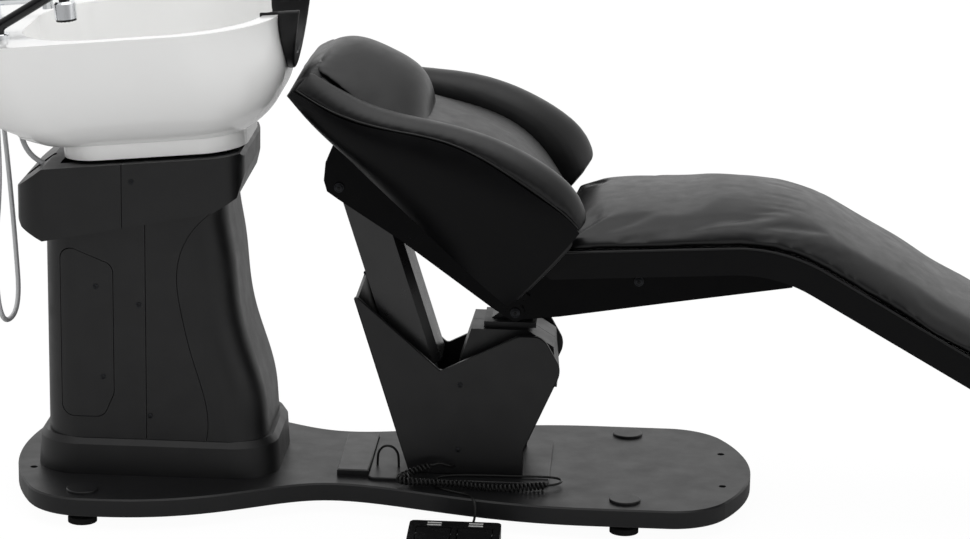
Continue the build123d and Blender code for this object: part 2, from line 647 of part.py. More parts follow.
def inner_frame():
    frame = block(FRAME_X - FRAME_HALF_X - FRAME_TUBE / 2, FRAME_X + FRAME_HALF_X + FRAME_TUBE / 2,
                  -FRAME_HALF_Y - FRAME_TUBE / 2, FRAME_HALF_Y + FRAME_TUBE / 2, PLATE_TOP, PLATE_TOP + FRAME_PLATE)
    for x in (FRAME_X - FRAME_HALF_X, FRAME_X + FRAME_HALF_X):
        for y in (-FRAME_HALF_Y, FRAME_HALF_Y):
            leg = Pos(x, y, PLATE_TOP + FRAME_PLATE) * extrude(Rectangle(FRAME_TUBE, FRAME_TUBE),
                                                              amount=FRAME_TOP_Z - FRAME_PLATE * 2 - PLATE_TOP)
            bore = Pos(x, y, PLATE_TOP + FRAME_PLATE) * extrude(
                Rectangle(FRAME_TUBE - FRAME_WALL * 2, FRAME_TUBE - FRAME_WALL * 2),
                amount=FRAME_TOP_Z - FRAME_PLATE * 2 - PLATE_TOP)
            frame = frame + (leg - bore)
    rear = HINGE_X - HINGE_EAR
    front = STOP_X + FRAME_TUBE / 2
    top = round_slab(front - rear, FRAME_HALF_Y * 2 + FRAME_TUBE, COLUMN_CORNER - FRAME_TUBE, (front + rear) / 2,
                     FRAME_TOP_Z - FRAME_PLATE, FRAME_TOP_Z)
    frame = frame + top
    frame = frame - post(WASTE_CUP_RADIUS + GAP, drain_x(), 0, 0, FRAME_TOP_Z + OVERRUN)
    for sign in (-1, 1):
        ear_y = HINGE_EAR_Y + HINGE_EAR_THICK + GAP
        y0, y1 = sorted((sign * ear_y, sign * (ear_y + HINGE_EAR_THICK)))
        ear = block(HINGE_X - HINGE_EAR, HINGE_X + HINGE_EAR, y0, y1, FRAME_TOP_Z, HINGE_Z)
        ear = ear + cross_rod(HINGE_EAR, HINGE_X, HINGE_Z, y0, y1)
        frame = frame + (ear - cross_rod(HINGE_PIN, HINGE_X, HINGE_Z, y0 - OVERRUN, y1 + OVERRUN))
    stop_top = bowl_point(STOP_X - BOWL_X, 0, POCKET_DEPTH - BRACKET_THICK)[2] - BRACKET_THICK
    frame = frame + post(HINGE_EAR / 2, STOP_X, 0, FRAME_TOP_Z, stop_top)
    return frame


def stop_pad():
    high = bowl_point(STOP_X - BOWL_X, 0, POCKET_DEPTH - BRACKET_THICK)[2]
    face = bowl_place() * Pos(STOP_X - BOWL_X, 0, POCKET_DEPTH - BRACKET_THICK + COLLAR_RISE / 2 - GAP)
    above = face * Box(COLLAR_RISE, COLLAR_RISE, COLLAR_RISE)
    return post(HINGE_EAR / 2, STOP_X, 0, high - BRACKET_THICK, high + BRACKET_THICK) - above


def bowl_place():
    return Pos(BOWL_X, 0, BOWL_Z) * Rot(0, -BOWL_TILT, 0)


def bowl_point(u, y, w):
    angle = math.radians(BOWL_TILT)
    x = BOWL_X + u * math.cos(angle) - w * math.sin(angle)
    z = BOWL_Z + u * math.sin(angle) + w * math.cos(angle)
    return (x, y, z)


def drain_x():
    return bowl_point(DRAIN_U, 0, DRAIN_TAIL_LOW)[0]


# Basin


def bowl_section(share, corner, low, high):
    rear = BOWL_FRONT - BOWL_LENGTH + BOWL_LENGTH * share[1]
    front = BOWL_FRONT - BOWL_LENGTH * share[2]
    width = BOWL_WIDTH * share[3]
    w = low + (high - low) * share[0]
    return Pos((rear + front) / 2, 0, w) * RectangleRounded(front - rear, width, BOWL_WIDTH * corner * share[3])


def notch_face(radius):
    low = BOWL_HEIGHT - NOTCH_DEPTH + NOTCH_RADIUS
    high = BOWL_HEIGHT + REST_RAISE * 2
    arc = ThreePointArc((-radius, low), (0, low - radius), (radius, low))
    lid = Polyline((radius, low), (radius, high), (-radius, high), (-radius, low))
    plane = Plane(origin=(0, 0, 0), x_dir=(0, 1, 0), z_dir=(1, 0, 0))
    return plane * make_face([arc, lid])


def notch_bar(radius, u0, u1):
    return Pos(u0, 0, 0) * extrude(notch_face(radius), amount=u1 - u0)


def bowl():
    outer = loft([bowl_section(s, c, BOWL_BODY_LOW, BOWL_HEIGHT)
                  for s, c in zip(BOWL_OUTER_SHARES, BOWL_CORNER_SHARES)])
    inner = loft([bowl_section(s, c, BASIN_LOW, BOWL_HEIGHT)
                  for s, c in zip(BASIN_INNER_SHARES, BASIN_CORNER_SHARES)])
    foot = round_slab(FLANGE_LENGTH, FLANGE_WIDTH, FLANGE_CORNER, FLANGE_U, 0, BOWL_BODY_LOW)
    body = outer + foot - inner
    pocket_length = FLANGE_LENGTH - POCKET_MARGIN * 2
    pocket_width = FLANGE_WIDTH - POCKET_MARGIN * 2
    body = body - round_slab(pocket_length, pocket_width, FLANGE_CORNER - POCKET_MARGIN, 0, -OVERRUN, POCKET_DEPTH)
    half = DECK_CAVITY_WIDTH / 2
    body = body - block(DECK_CAVITY_REAR, DECK_CAVITY_FRONT, -half, half, 0, BOWL_HEIGHT - DECK_THICK)
    body = body - notch_bar(NOTCH_RADIUS, REST_INNER_U - NOTCH_RADIUS, BOWL_FRONT + OVERRUN)
    body = body - post(DRAIN_BORE, DRAIN_U, 0, 0, BOWL_HEIGHT)
    body = body - post(TAP_BORE, TAP_U, TAP_Y, BASIN_LOW, BOWL_HEIGHT + OVERRUN)
    body = body - post(HOLDER_RADIUS - SCREW_RAISE, HOLDER_U, HOLDER_Y, BASIN_LOW * 2, BOWL_HEIGHT + OVERRUN)
    return bowl_place() * body


def notch_round(radius, lift, u0, u1):
    """A round bar through the notch, its middle that far above the middle of the notch's own round."""
    w = BOWL_HEIGHT - NOTCH_DEPTH + NOTCH_RADIUS + lift
    return Pos((u0 + u1) / 2, 0, w) * Rot(0, 90, 0) * Cylinder(radius, u1 - u0)


def neck_rest():
    """A soft crescent lines the notch, thick at the bottom and thin at its horns, with a lip outside the rim."""
    end = BOWL_FRONT + REST_TOP_OUT
    liner = notch_bar(NOTCH_RADIUS, REST_INNER_U, BOWL_FRONT + GAP)
    lip = notch_round(NOTCH_RADIUS + REST_LIP - REST_OUTER_DROP, -REST_OUTER_DROP, BOWL_FRONT + GAP, end)
    rest = liner + lip - notch_round(NOTCH_RADIUS - REST_LINER + REST_INNER_LIFT, REST_INNER_LIFT,
                                     REST_INNER_U - OVERRUN, end + OVERRUN)
    low = BOWL_HEIGHT - NOTCH_DEPTH - REST_LIP
    high = BOWL_HEIGHT + REST_RAISE
    front = BOWL_FRONT + REST_TOP_OUT
    heel = BOWL_FRONT + REST_LOW_OUT
    keep = side_slab([(0, low - OVERRUN), (heel, low - OVERRUN), (heel, low), (front, high), (0, high)],
                     -BOWL_WIDTH, BOWL_WIDTH)
    return bowl_place() * (rest & keep) - bowl()


def bowl_bracket():
    length = FLANGE_LENGTH - POCKET_MARGIN * 2 - GAP * 2
    width = FLANGE_WIDTH - POCKET_MARGIN * 2 - GAP * 2
    plate = round_slab(length, width, FLANGE_CORNER - POCKET_MARGIN, 0, POCKET_DEPTH - BRACKET_THICK, POCKET_DEPTH)
    plate = plate - post(DRAIN_TAIL_RADIUS + DRAIN_FLANGE_THICK, DRAIN_U, 0, 0, POCKET_DEPTH + OVERRUN)
    bracket = bowl_place() * plate
    rear = -length / 2 + FLANGE_CORNER / 2
    for sign in (-1, 1):
        y0, y1 = sorted((sign * HINGE_EAR_Y, sign * (HINGE_EAR_Y + HINGE_EAR_THICK)))
        high_rear = bowl_point(rear, 0, POCKET_DEPTH - BRACKET_THICK / 2)
        high_front = bowl_point(rear + HINGE_EAR * 3, 0, POCKET_DEPTH - BRACKET_THICK / 2)
        shoulder = HINGE_EAR * EAR_SHOULDER_SHARE
        ear = side_slab([(HINGE_X - shoulder, HINGE_Z), (HINGE_X + shoulder, HINGE_Z),
                         (high_front[0], high_front[2]), (high_rear[0], high_rear[2])], y0, y1)
        ear = ear + cross_rod(HINGE_EAR, HINGE_X, HINGE_Z, y0, y1)
        bracket = bracket + (ear - cross_rod(HINGE_PIN + RUN_FIT, HINGE_X, HINGE_Z, y0 - OVERRUN, y1 + OVERRUN))
    return bracket


def hinge_pin():
    reach = HINGE_EAR_Y + HINGE_EAR_THICK * 2 + GAP
    return cross_rod(HINGE_PIN, HINGE_X, HINGE_Z, -reach, reach)


def drain_flange():
    ring = post(DRAIN_FLANGE_RADIUS, DRAIN_U, 0, BASIN_LOW, BASIN_LOW + DRAIN_FLANGE_THICK)
    ring = ring + post(DRAIN_BORE - GAP, DRAIN_U, 0, POCKET_DEPTH, BASIN_LOW)
    tail = post(DRAIN_TAIL_RADIUS, DRAIN_U, 0, DRAIN_TAIL_LOW, POCKET_DEPTH + OVERRUN)
    drain = ring + tail
    cup = post(STRAINER_RADIUS + RUN_FIT, DRAIN_U, 0, BASIN_LOW - STRAINER_DEPTH, BASIN_LOW + OVERRUN)
    bore = post(DRAIN_TAIL_RADIUS - DRAIN_TAIL_WALL, DRAIN_U, 0, DRAIN_TAIL_LOW - OVERRUN, BASIN_LOW)
    return bowl_place() * (drain - cup - bore)


def drain_strainer():
    low = BASIN_LOW - STRAINER_DEPTH + GAP
    high = BASIN_LOW + DRAIN_FLANGE_THICK
    cup = post(STRAINER_RADIUS, DRAIN_U, 0, low, high)
    cup = cup + post(STRAINER_RIM, DRAIN_U, 0, high, high + STRAINER_WALL)
    cup = cup - post(STRAINER_RADIUS - STRAINER_WALL, DRAIN_U, 0, low + STRAINER_WALL, high + OVERRUN)
    for ring_share, count in STRAINER_RING_SHARES:
        for k in range(count):
            angle = math.radians(360 * k / count)
            x = DRAIN_U + STRAINER_RADIUS * ring_share * math.cos(angle)
            y = STRAINER_RADIUS * ring_share * math.sin(angle)
            cup = cup - post(STRAINER_HOLE, x, y, low - OVERRUN, low + STRAINER_WALL * 2)
    cup = cup + post(STRAINER_KNOB / 2, DRAIN_U, 0, low + STRAINER_WALL, high + STRAINER_KNOB)
    return bowl_place() * (cup + Pos(DRAIN_U, 0, high + STRAINER_KNOB) * Sphere(STRAINER_KNOB))


def waste_trap():
    x = drain_x()
    high = FRAME_TOP_Z + WASTE_CUP_HEIGHT / 2
    low = high - WASTE_CUP_HEIGHT
    cup = post(WASTE_CUP_RADIUS, x, 0, low, high)
    cup = cup - post(WASTE_CUP_RADIUS - WASTE_CUP_WALL, x, 0, low + WASTE_CUP_WALL, high + OVERRUN)
    pipe = post(WASTE_PIPE_RADIUS, x, 0, WASTE_PIPE_LOW, low)
    trap = post(TRAP_RADIUS, x, 0, WASTE_PIPE_LOW - TRAP_HEIGHT, WASTE_PIPE_LOW)
    body = cup + pipe + trap
    bore = post(WASTE_PIPE_RADIUS - WASTE_CUP_WALL, x, 0, WASTE_PIPE_LOW - OVERRUN, high)
    well = post(TRAP_RADIUS - WASTE_CUP_WALL, x, 0, WASTE_PIPE_LOW - TRAP_HEIGHT + WASTE_CUP_WALL,
                WASTE_PIPE_LOW - WASTE_CUP_WALL)
    return body - bore - well


# Tap and hand shower


def tap_body():
    deck = BOWL_HEIGHT
    body = post(TAP_BASE_RADIUS, TAP_U, TAP_Y, deck, deck + TAP_SPOUT_RADIUS / 2)
    body = body + post(TAP_BODY_RADIUS, TAP_U, TAP_Y, deck, deck + TAP_HEIGHT)
    body = body + post(TAP_SHANK, TAP_U, TAP_Y, deck - DECK_THICK * 3, deck)
    w = deck + TAP_HEIGHT - TAP_SPOUT_RADIUS * 2
    spout = Pos(TAP_U + TAP_SPOUT_LENGTH / 2, TAP_Y, w) * Rot(0, 90, 0) * Cylinder(TAP_SPOUT_RADIUS, TAP_SPOUT_LENGTH)
    end = TAP_U + TAP_SPOUT_LENGTH
    body = body + spout + post(TAP_SPOUT_RADIUS, end, TAP_Y, w - TAP_HEAD_HEIGHT, w)
    body = body + Pos(end, TAP_Y, w) * Sphere(TAP_SPOUT_RADIUS)
    return bowl_place() * body


def tap_nut():
    low = BOWL_HEIGHT - DECK_THICK - NUT_HEIGHT
    nut = post(TAP_BASE_RADIUS, TAP_U, TAP_Y, low, BOWL_HEIGHT - DECK_THICK)
    return bowl_place() * (nut - post(TAP_SHANK, TAP_U, TAP_Y, 0, BOWL_HEIGHT))


def tap_dome():
    low = BOWL_HEIGHT + TAP_HEIGHT + GAP
    high = low + TAP_HEAD_HEIGHT
    dome = post(TAP_BODY_RADIUS, TAP_U, TAP_Y, low, high)
    dome = fillet(dome.faces().sort_by(Axis.Z)[-1].edges(), LEVER_RADIUS)
    half = LEVER_RADIUS + GAP
    slot = block(TAP_U - TAP_BODY_RADIUS * 2, TAP_U + LEVER_RADIUS * 2, TAP_Y - half, TAP_Y + half,
                 low + LEVER_RADIUS / 2, high + OVERRUN)
    pin = Pos(TAP_U, TAP_Y, lever_w()) * Rot(90, 0, 0) * Cylinder(PEDAL_PIN, half * 2 + PEDAL_PIN)
    return bowl_place() * (dome - slot + pin)


def lever_w():
    return BOWL_HEIGHT + TAP_HEIGHT + TAP_HEAD_HEIGHT * LEVER_LIFT_SHARE


def tap_lever():
    pivot = Pos(TAP_U, TAP_Y, lever_w())
    root = pivot * Rot(90, 0, 0) * Cylinder(LEVER_ROOT, LEVER_RADIUS * 2)
    bar = Pos(-LEVER_LENGTH / 2, 0, LEVER_RADIUS / 2) * Box(LEVER_LENGTH, LEVER_RADIUS * 2, LEVER_RADIUS)
    bar = pivot * Rot(0, LEVER_RISE, 0) * bar
    bore = pivot * Rot(90, 0, 0) * Cylinder(PEDAL_PIN + RUN_FIT, LEVER_RADIUS * 4)
    return bowl_place() * (root + bar - bore)


def shower_holder():
    deck = BOWL_HEIGHT
    holder = post(HOLDER_RADIUS, HOLDER_U, HOLDER_Y, deck, deck + HOLDER_HEIGHT)
    holder = chamfer(holder.faces().sort_by(Axis.Z)[-1].edges(), SCREW_RAISE)
    low = deck - DECK_THICK - HOLDER_SHANK_LOW
    seat = low + HOLDER_SHANK_LOW / 2
    holder = holder + post(HOLDER_RADIUS - SCREW_RAISE, HOLDER_U, HOLDER_Y, low, deck)
    holder = holder - post(SHOWER_TUBE + RUN_FIT, HOLDER_U, HOLDER_Y, seat, deck + HOLDER_HEIGHT * 2)
    return bowl_place() * (holder - post(HOSE_RADIUS, HOLDER_U, HOLDER_Y, low - OVERRUN, deck))


def shower_path():
    points = [(HOLDER_U + a * SHOWER_REACH, HOLDER_Y, BOWL_HEIGHT + b * SHOWER_RISE) for a, b in SHOWER_ROUTE_SHARES]
    return FilletPolyline(*points, radius=list(SHOWER_ROUNDS))


def hand_shower():
    path = shower_path()
    start = path @ 0
    tube = sweep(Plane(origin=start, z_dir=path % 0) * Circle(SHOWER_TUBE), path=path)
    end = path @ 1
    low = end.Z - SHOWER_HEAD_LENGTH
    head = post(SHOWER_HEAD_RADIUS, end.X, end.Y, low, end.Z)
    head = chamfer(head.faces().sort_by(Axis.Z)[-1].edges(), SHOWER_FACE_THICK)
    return bowl_place() * (tube + head)


def spray_face():
    end = shower_path() @ 1
    high = end.Z - SHOWER_HEAD_LENGTH
    face = post(SHOWER_HEAD_RADIUS - NOZZLE_RAISE, end.X, end.Y, high - SHOWER_FACE_THICK, high)
    for ring_share, count in NOZZLE_RING_SHARES:
        for k in range(count):
            angle = math.radians(360 * k / count)
            x = end.X + SHOWER_HEAD_RADIUS * ring_share * math.cos(angle)
            y = end.Y + SHOWER_HEAD_RADIUS * ring_share * math.sin(angle)
            face = face + post(NOZZLE_RADIUS, x, y, high - SHOWER_FACE_THICK - NOZZLE_RAISE, high)
    return bowl_place() * face


# Lift housing


def housing_outline():
    return shared_outline(HOUSING_SHARES, HOUSING_REAR_X, HOUSING_LENGTH, HOUSING_FOOT_Z, HOUSING_HEIGHT)


def side_panel(sign):
    rounds = [HOUSING_ROUND * share for share in HOUSING_ROUND_SHARES]
    outer = sign * HOUSING_WIDTH / 2
    inner = sign * (HOUSING_WIDTH / 2 - HOUSING_SKIN)
    y0, y1 = sorted((outer, inner))
    panel = side_slab(housing_outline(), y0, y1, rounds)
    face = panel.faces().sort_by(Axis.Y)[0 if sign < 0 else -1]
    return chamfer(face.edges(), HOUSING_EDGE)


def inner_half():
    return HOUSING_WIDTH / 2 - HOUSING_SKIN - GAP


def rear_cover():
    points = housing_outline()
    tip = points[0]
    foot = points[-1]
    top = (tip[0] + COVER_THICK / 2, tip[1] - COVER_DROP / 2)
    low = (foot[0] + COVER_THICK / 2, foot[1])
    outline = [top, (top[0] + COVER_THICK, top[1]), (low[0] + COVER_THICK, low[1]), low]
    return side_slab(outline, -inner_half(), inner_half())


def front_cover():
    points = housing_outline()
    side = points[5]
    waist = points[6]
    foot = points[7]
    inset = COVER_DROP
    outline = [(side[0] - inset - COVER_DROP, side[1] - COVER_DROP * 2), (waist[0] - inset, waist[1]),
               (foot[0] - inset, foot[1]), (foot[0] - inset - COVER_THICK, foot[1]),
               (waist[0] - inset - COVER_THICK, waist[1] + COVER_THICK),
               (side[0] - inset - COVER_DROP - COVER_THICK, side[1] - COVER_DROP * 2)]
    cover = side_slab(outline, -inner_half(), inner_half())
    spine_z = HOUSING_FOOT_Z + HOUSING_HEIGHT * SPINE_SHARES[-1][1]
    half = SPINE_WIDTH / 2 + GAP
    return cover - block(foot[0] - COVER_DROP, side[0], -half, half, spine_z - GAP, side[1])


def top_cover(sign):
    spine = shared_outline(SPINE_SHARES, HOUSING_REAR_X, HOUSING_LENGTH, HOUSING_FOOT_Z, HOUSING_HEIGHT)
    half = SPINE_WIDTH / 2
    y0, y1 = sorted((sign * SEAM_GAP / 2, sign * half))
    shell = side_slab(spine, y0, y1)
    z_low = spine[0][1]
    roof = COVER_THICK
    inner = [(spine[0][0] + roof * SPINE_INSET_SHARES[0], z_low - OVERRUN),
             (spine[1][0] + roof * SPINE_INSET_SHARES[1], spine[1][1] - roof),
             (spine[2][0] - roof * SPINE_INSET_SHARES[2], spine[2][1] - roof),
             (spine[3][0] - roof * SPINE_INSET_SHARES[3], spine[3][1] - roof),
             (spine[4][0] - roof, z_low - COVER_DROP * 6)]
    y2, y3 = sorted((-sign * OVERRUN, sign * (half - COVER_THICK)))
    shell = shell - side_slab(inner, y2, y3)
    deck = shared_outline(DECK_SHARES, HOUSING_REAR_X, HOUSING_LENGTH, HOUSING_FOOT_Z, HOUSING_HEIGHT)
    under = [(x, z - COVER_THICK) for x, z in reversed(deck)]
    y4, y5 = sorted((sign * (half - GAP), sign * inner_half()))
    return shell + side_slab(deck + under, y4, y5)


def lift_frame():
    half = SPINE_WIDTH / 2 - COVER_THICK - GAP
    top_z = HOUSING_FOOT_Z + HOUSING_HEIGHT * SPINE_SHARES[1][1] - COVER_THICK - GAP
    low_z = HOUSING_FOOT_Z
    rear = DRIVE_X - DRIVE_EYE * 2
    tower_x = DRIVE_X + DRIVE_EYE
    front = HOUSING_REAR_X + HOUSING_LENGTH * HOUSING_SHARES[6][0] - COVER_DROP * 3
    peak0, peak1, wide = [HOUSING_REAR_X + HOUSING_LENGTH * share for share in TOWER_SHARES]
    middle = low_z + HOUSING_HEIGHT / 2
    plate = [(tower_x, low_z), (front, low_z), (wide, middle), (peak1, top_z), (peak0, top_z),
             (tower_x + BEAM_SKIN, middle + OVERRUN)]
    frame = block(rear, front, -half, half, low_z, low_z + BEAM_SKIN)
    frame = frame + block(peak0, peak1, -half, half, top_z - BEAM_SKIN, top_z)
    for sign in (-1, 1):
        y0, y1 = sorted((sign * (half - BEAM_SKIN), sign * half))
        frame = frame + side_slab(plate, y0, y1)
        y2, y3 = sorted((sign * (DRIVE_TUBE + GAP * 2), sign * (DRIVE_TUBE + GAP * 2 + BEAM_SKIN)))
        lug = block(DRIVE_X - DRIVE_EYE, DRIVE_X + DRIVE_EYE, y2, y3, low_z, DRIVE_Z)
        lug = lug + cross_rod(DRIVE_EYE, DRIVE_X, DRIVE_Z, y2, y3)
        frame = frame + (lug - cross_rod(DRIVE_PIN, DRIVE_X, DRIVE_Z, y2 - OVERRUN, y3 + OVERRUN))
    return frame


def drive_pin():
    reach = DRIVE_TUBE + GAP * 2 + BEAM_SKIN
    return cross_rod(DRIVE_PIN, DRIVE_X, DRIVE_Z, -reach, reach)


def arm_direction():
    lean = math.radians(ARM_LEAN)
    return (-math.sin(lean), math.cos(lean))


def along_arm(distance, side=0.0):
    d = arm_direction()
    return (DRIVE_X + d[0] * distance + d[1] * side, DRIVE_Z + d[1] * distance - d[0] * side)


def arm_cylinder(radius, start, end):
    a = along_arm(start)
    b = along_arm(end)
    middle = ((a[0] + b[0]) / 2, (a[1] + b[1]) / 2)
    return Pos(middle[0], 0, middle[1]) * Rot(0, -ARM_LEAN, 0) * Cylinder(radius, end - start)


def arm_span():
    d = arm_direction()
    return (ARM_PIN_X - DRIVE_X) * d[0] + (ARM_PIN_Z - DRIVE_Z) * d[1]


def drive_tube():
    tube = arm_cylinder(DRIVE_TUBE, DRIVE_SEAT, DRIVE_LENGTH)
    eye = cross_rod(DRIVE_EYE, DRIVE_X, DRIVE_Z, -DRIVE_TUBE, DRIVE_TUBE)
    body = tube + eye + arm_cylinder(DRIVE_NECK, 0, DRIVE_EYE * 2)
    body = body - cross_rod(DRIVE_PIN + RUN_FIT, DRIVE_X, DRIVE_Z, -DRIVE_TUBE * 2, DRIVE_TUBE * 2)
    return body - arm_cylinder(ROD_RADIUS + RUN_FIT, DRIVE_EYE * 3, DRIVE_LENGTH + OVERRUN)


def drive_rod():
    return arm_cylinder(ROD_RADIUS, DRIVE_LENGTH - ROD_HIDDEN, arm_span() - ARM_BOSS * 2 - BEAM_SKIN)


def back_place(s, n):
    angle = math.radians(BACK_ANGLE)
    x = PIVOT_X - s * math.cos(angle) + n * math.sin(angle)
    z = PIVOT_Z + s * math.sin(angle) + n * math.cos(angle)
    return (x, z)


def lift_arm():
    span = arm_span()
    low = ARM_HIDDEN - ARM_DEPTH
    side = ARM_DEPTH / 2
    outline = [along_arm(low, -side), along_arm(low, side), along_arm(span + ARM_DEPTH, side),
               along_arm(span + ARM_DEPTH, -side)]
    half = ARM_WIDTH / 2
    arm = side_slab(outline, -half, half)
    long_edges = arm.edges().sort_by(SortBy.LENGTH)[-4:]
    arm = chamfer(long_edges.sort_by(Axis.X)[-2:], ARM_BEVEL)
    bore = side - ARM_WALL
    front_bore = side - ARM_BEVEL
    top = span - ARM_BOSS * 2 - BEAM_SKIN
    core = [along_arm(low - OVERRUN, -bore), along_arm(low - OVERRUN, front_bore), along_arm(top, front_bore),
            along_arm(top, -bore)]
    arm = arm - side_slab(core, -half + ARM_WALL, half - ARM_WALL)
    arm = arm + cross_rod(ARM_BOSS, ARM_PIN_X, ARM_PIN_Z, -half, half)
    reach = BACK_LENGTH
    lid = [back_place(-reach, ARM_TOP_HEIGHT), back_place(reach, ARM_TOP_HEIGHT), back_place(reach, reach),
           back_place(-reach, reach)]
    arm = arm - side_slab(lid, -half - OVERRUN, half + OVERRUN)
    end = pin_station() + ARM_BOSS
    corner = [back_place(end, -reach), back_place(end, reach), back_place(reach, reach), back_place(reach, -reach)]
    arm = arm - side_slab(corner, -half - OVERRUN, half + OVERRUN)
    hole = ARM_PIN + ARM_PIN_PLAY
    return arm - cross_rod(hole, ARM_PIN_X, ARM_PIN_Z, -half - OVERRUN, half + OVERRUN)


def pin_station():
    angle = math.radians(BACK_ANGLE)
    return -(ARM_PIN_X - PIVOT_X) * math.cos(angle) + (ARM_PIN_Z - PIVOT_Z) * math.sin(angle)


def pivot_bracket():
    base_z = HOUSING_FOOT_Z + HOUSING_HEIGHT * SPINE_SHARES[1][1]
    half = PIVOT_FOOT_LENGTH / 2
    width = PIVOT_FOOT_WIDTH / 2
    foot = block(PIVOT_FOOT_X - half, PIVOT_FOOT_X + half, -width, width, base_z, base_z + PIVOT_FOOT_THICK)
    shoulder = PIVOT_BOSS * EAR_SHOULDER_SHARE
    ear = side_slab([(PIVOT_FOOT_X - half, base_z), (PIVOT_FOOT_X + half, base_z), (PIVOT_X + shoulder, PIVOT_Z),
                     (PIVOT_X - shoulder, PIVOT_Z)], -PIVOT_EAR_Y, PIVOT_EAR_Y)
    ear = ear + cross_rod(PIVOT_BOSS, PIVOT_X, PIVOT_Z, -PIVOT_EAR_Y, PIVOT_EAR_Y)
    reach = PIVOT_EAR_Y + OVERRUN
    return foot + ear - cross_rod(PIVOT_PIN + RUN_FIT, PIVOT_X, PIVOT_Z, -reach, reach)


# Bed frame


def beam_outline():
    return [back_place(a * BACK_LENGTH, b * BEAM_DEPTH) for a, b in BACK_BEAM_SHARES]


def back_beam():
    half = BEAM_WIDTH / 2
    outer = side_slab(beam_outline(), -half, half)
    reach = BACK_BEAM_SHARES[7][0] * BACK_LENGTH
    top = BACK_BEAM_SHARES[8][1] * BEAM_DEPTH - BEAM_SKIN
    deep = -BEAM_DEPTH * 2
    clear = SEAT_REAR_CLEAR
    core = [back_place(-OVERRUN, deep), back_place(reach - BEAM_SKIN * 3, deep), back_place(reach - BEAM_SKIN, top),
            back_place(clear, top), back_place(clear, top + BEAM_SKIN * 2), back_place(-OVERRUN, top + BEAM_SKIN * 2)]
    beam = outer - side_slab(core, -half + BEAM_SKIN, half - BEAM_SKIN)
    for sign in (-1, 1):
        y0, y1 = sorted((sign * half, sign * (half - BEAM_SKIN)))
        beam = beam + cross_rod(PIVOT_BOSS, PIVOT_X, PIVOT_Z, y0, y1)
    beam = beam - cross_rod(PIVOT_PIN, PIVOT_X, PIVOT_Z, -half - OVERRUN, half + OVERRUN)
    return beam - cross_rod(ARM_PIN, ARM_PIN_X, ARM_PIN_Z, -half - OVERRUN, half + OVERRUN)


def pan_slope():
    return math.atan2(KNEE_Z - SEAT_REAR_Z, KNEE_X - SEAT_REAR_X)


def seat_beam():
    half = SEAT_BEAM_WIDTH / 2
    length = SEAT_BEAM_END_X - PIVOT_X
    low = shared_outline(SEAT_BEAM_SHARES, PIVOT_X, length, SEAT_BEAM_LOW_Z, SEAT_BEAM_RISE)
    end_z = low[-1][1] + BEAM_SKIN
    rear = (SEAT_REAR_X + PAN_EDGE, SEAT_REAR_Z + PAN_EDGE * math.tan(pan_slope()))
    bend = KNEE_RADIUS * math.tan((pan_slope() + math.radians(LEG_ANGLE)) / 2)
    knee = (KNEE_X - bend, KNEE_Z - bend * math.tan(pan_slope()))
    heel = PIVOT_BOSS * BEAM_HEEL_SHARE
    top = [(SEAT_BEAM_END_X, end_z), knee, rear, (PIVOT_X - heel, PIVOT_Z + heel)]
    shell = side_slab(low + top, -half, half)
    front_x = SEAT_BEAM_END_X - BEAM_SKIN * 2
    rear_x = PIVOT_X - PIVOT_BOSS * 2
    deep = SEAT_BEAM_LOW_Z - OVERRUN
    inner = [(rear_x, deep), (front_x, deep), (front_x, end_z - BEAM_SKIN), (knee[0], knee[1] - BEAM_SKIN),
             (rear[0], rear[1] - BEAM_SKIN), (rear_x, PIVOT_Z)]
    beam = shell - side_slab(inner, -half + BEAM_SKIN, half - BEAM_SKIN)
    for sign in (-1, 1):
        y0, y1 = sorted((sign * half, sign * (half - BEAM_SKIN)))
        beam = beam + cross_rod(PIVOT_BOSS, PIVOT_X, PIVOT_Z, y0, y1)
    return beam - cross_rod(PIVOT_PIN, PIVOT_X, PIVOT_Z, -half - OVERRUN, half + OVERRUN)


def through_bolt(radius, x, z, half):
    bolt = cross_rod(radius, x, z, -half, half)
    bolt = bolt + cross_rod(BOLT_HEAD, x, z, -half - BOLT_HEAD_THICK, -half)
    return bolt + cross_rod(BOLT_HEAD, x, z, half, half + BOLT_HEAD_THICK)


def pivot_pin():
    return through_bolt(PIVOT_PIN, PIVOT_X, PIVOT_Z, BEAM_WIDTH / 2)


def arm_pin():
    return through_bolt(ARM_PIN, ARM_PIN_X, ARM_PIN_Z, BEAM_WIDTH / 2)


def pivot_bushes():
    reach = SEAT_BEAM_WIDTH / 2 - BEAM_SKIN - GAP
    bushes = []
    for sign in (-1, 1):
        y0, y1 = sorted((sign * (PIVOT_EAR_Y + GAP), sign * reach))
        bush = cross_rod(PIVOT_BOSS - BEAM_SKIN / 2, PIVOT_X, PIVOT_Z, y0, y1)
        bushes.append(bush - cross_rod(PIVOT_PIN, PIVOT_X, PIVOT_Z, y0 - OVERRUN, y1 + OVERRUN))
    return bushes


def seat_bolts():
    half = SEAT_BEAM_WIDTH / 2
    bolts = []
    for sign in (-1, 1):
        y0, y1 = sorted((sign * half, sign * (half + BOLT_HEAD_THICK)))
        bolts.append(cross_rod(BOLT_HEAD, SEAT_BOLT_X, SEAT_BOLT_Z, y0, y1))
    return bolts


# Seat and leg pad


def seat_corner(height):
    """The knee corner of the line that lies at a height above the pan's underside."""
    first = pan_slope()
    last = -math.radians(LEG_ANGLE)
    half_turn = (first - last) / 2
    middle = (first + last) / 2
    reach = height / math.cos(half_turn)
    return (KNEE_X - reach * math.sin(middle), KNEE_Z + reach * math.cos(middle))


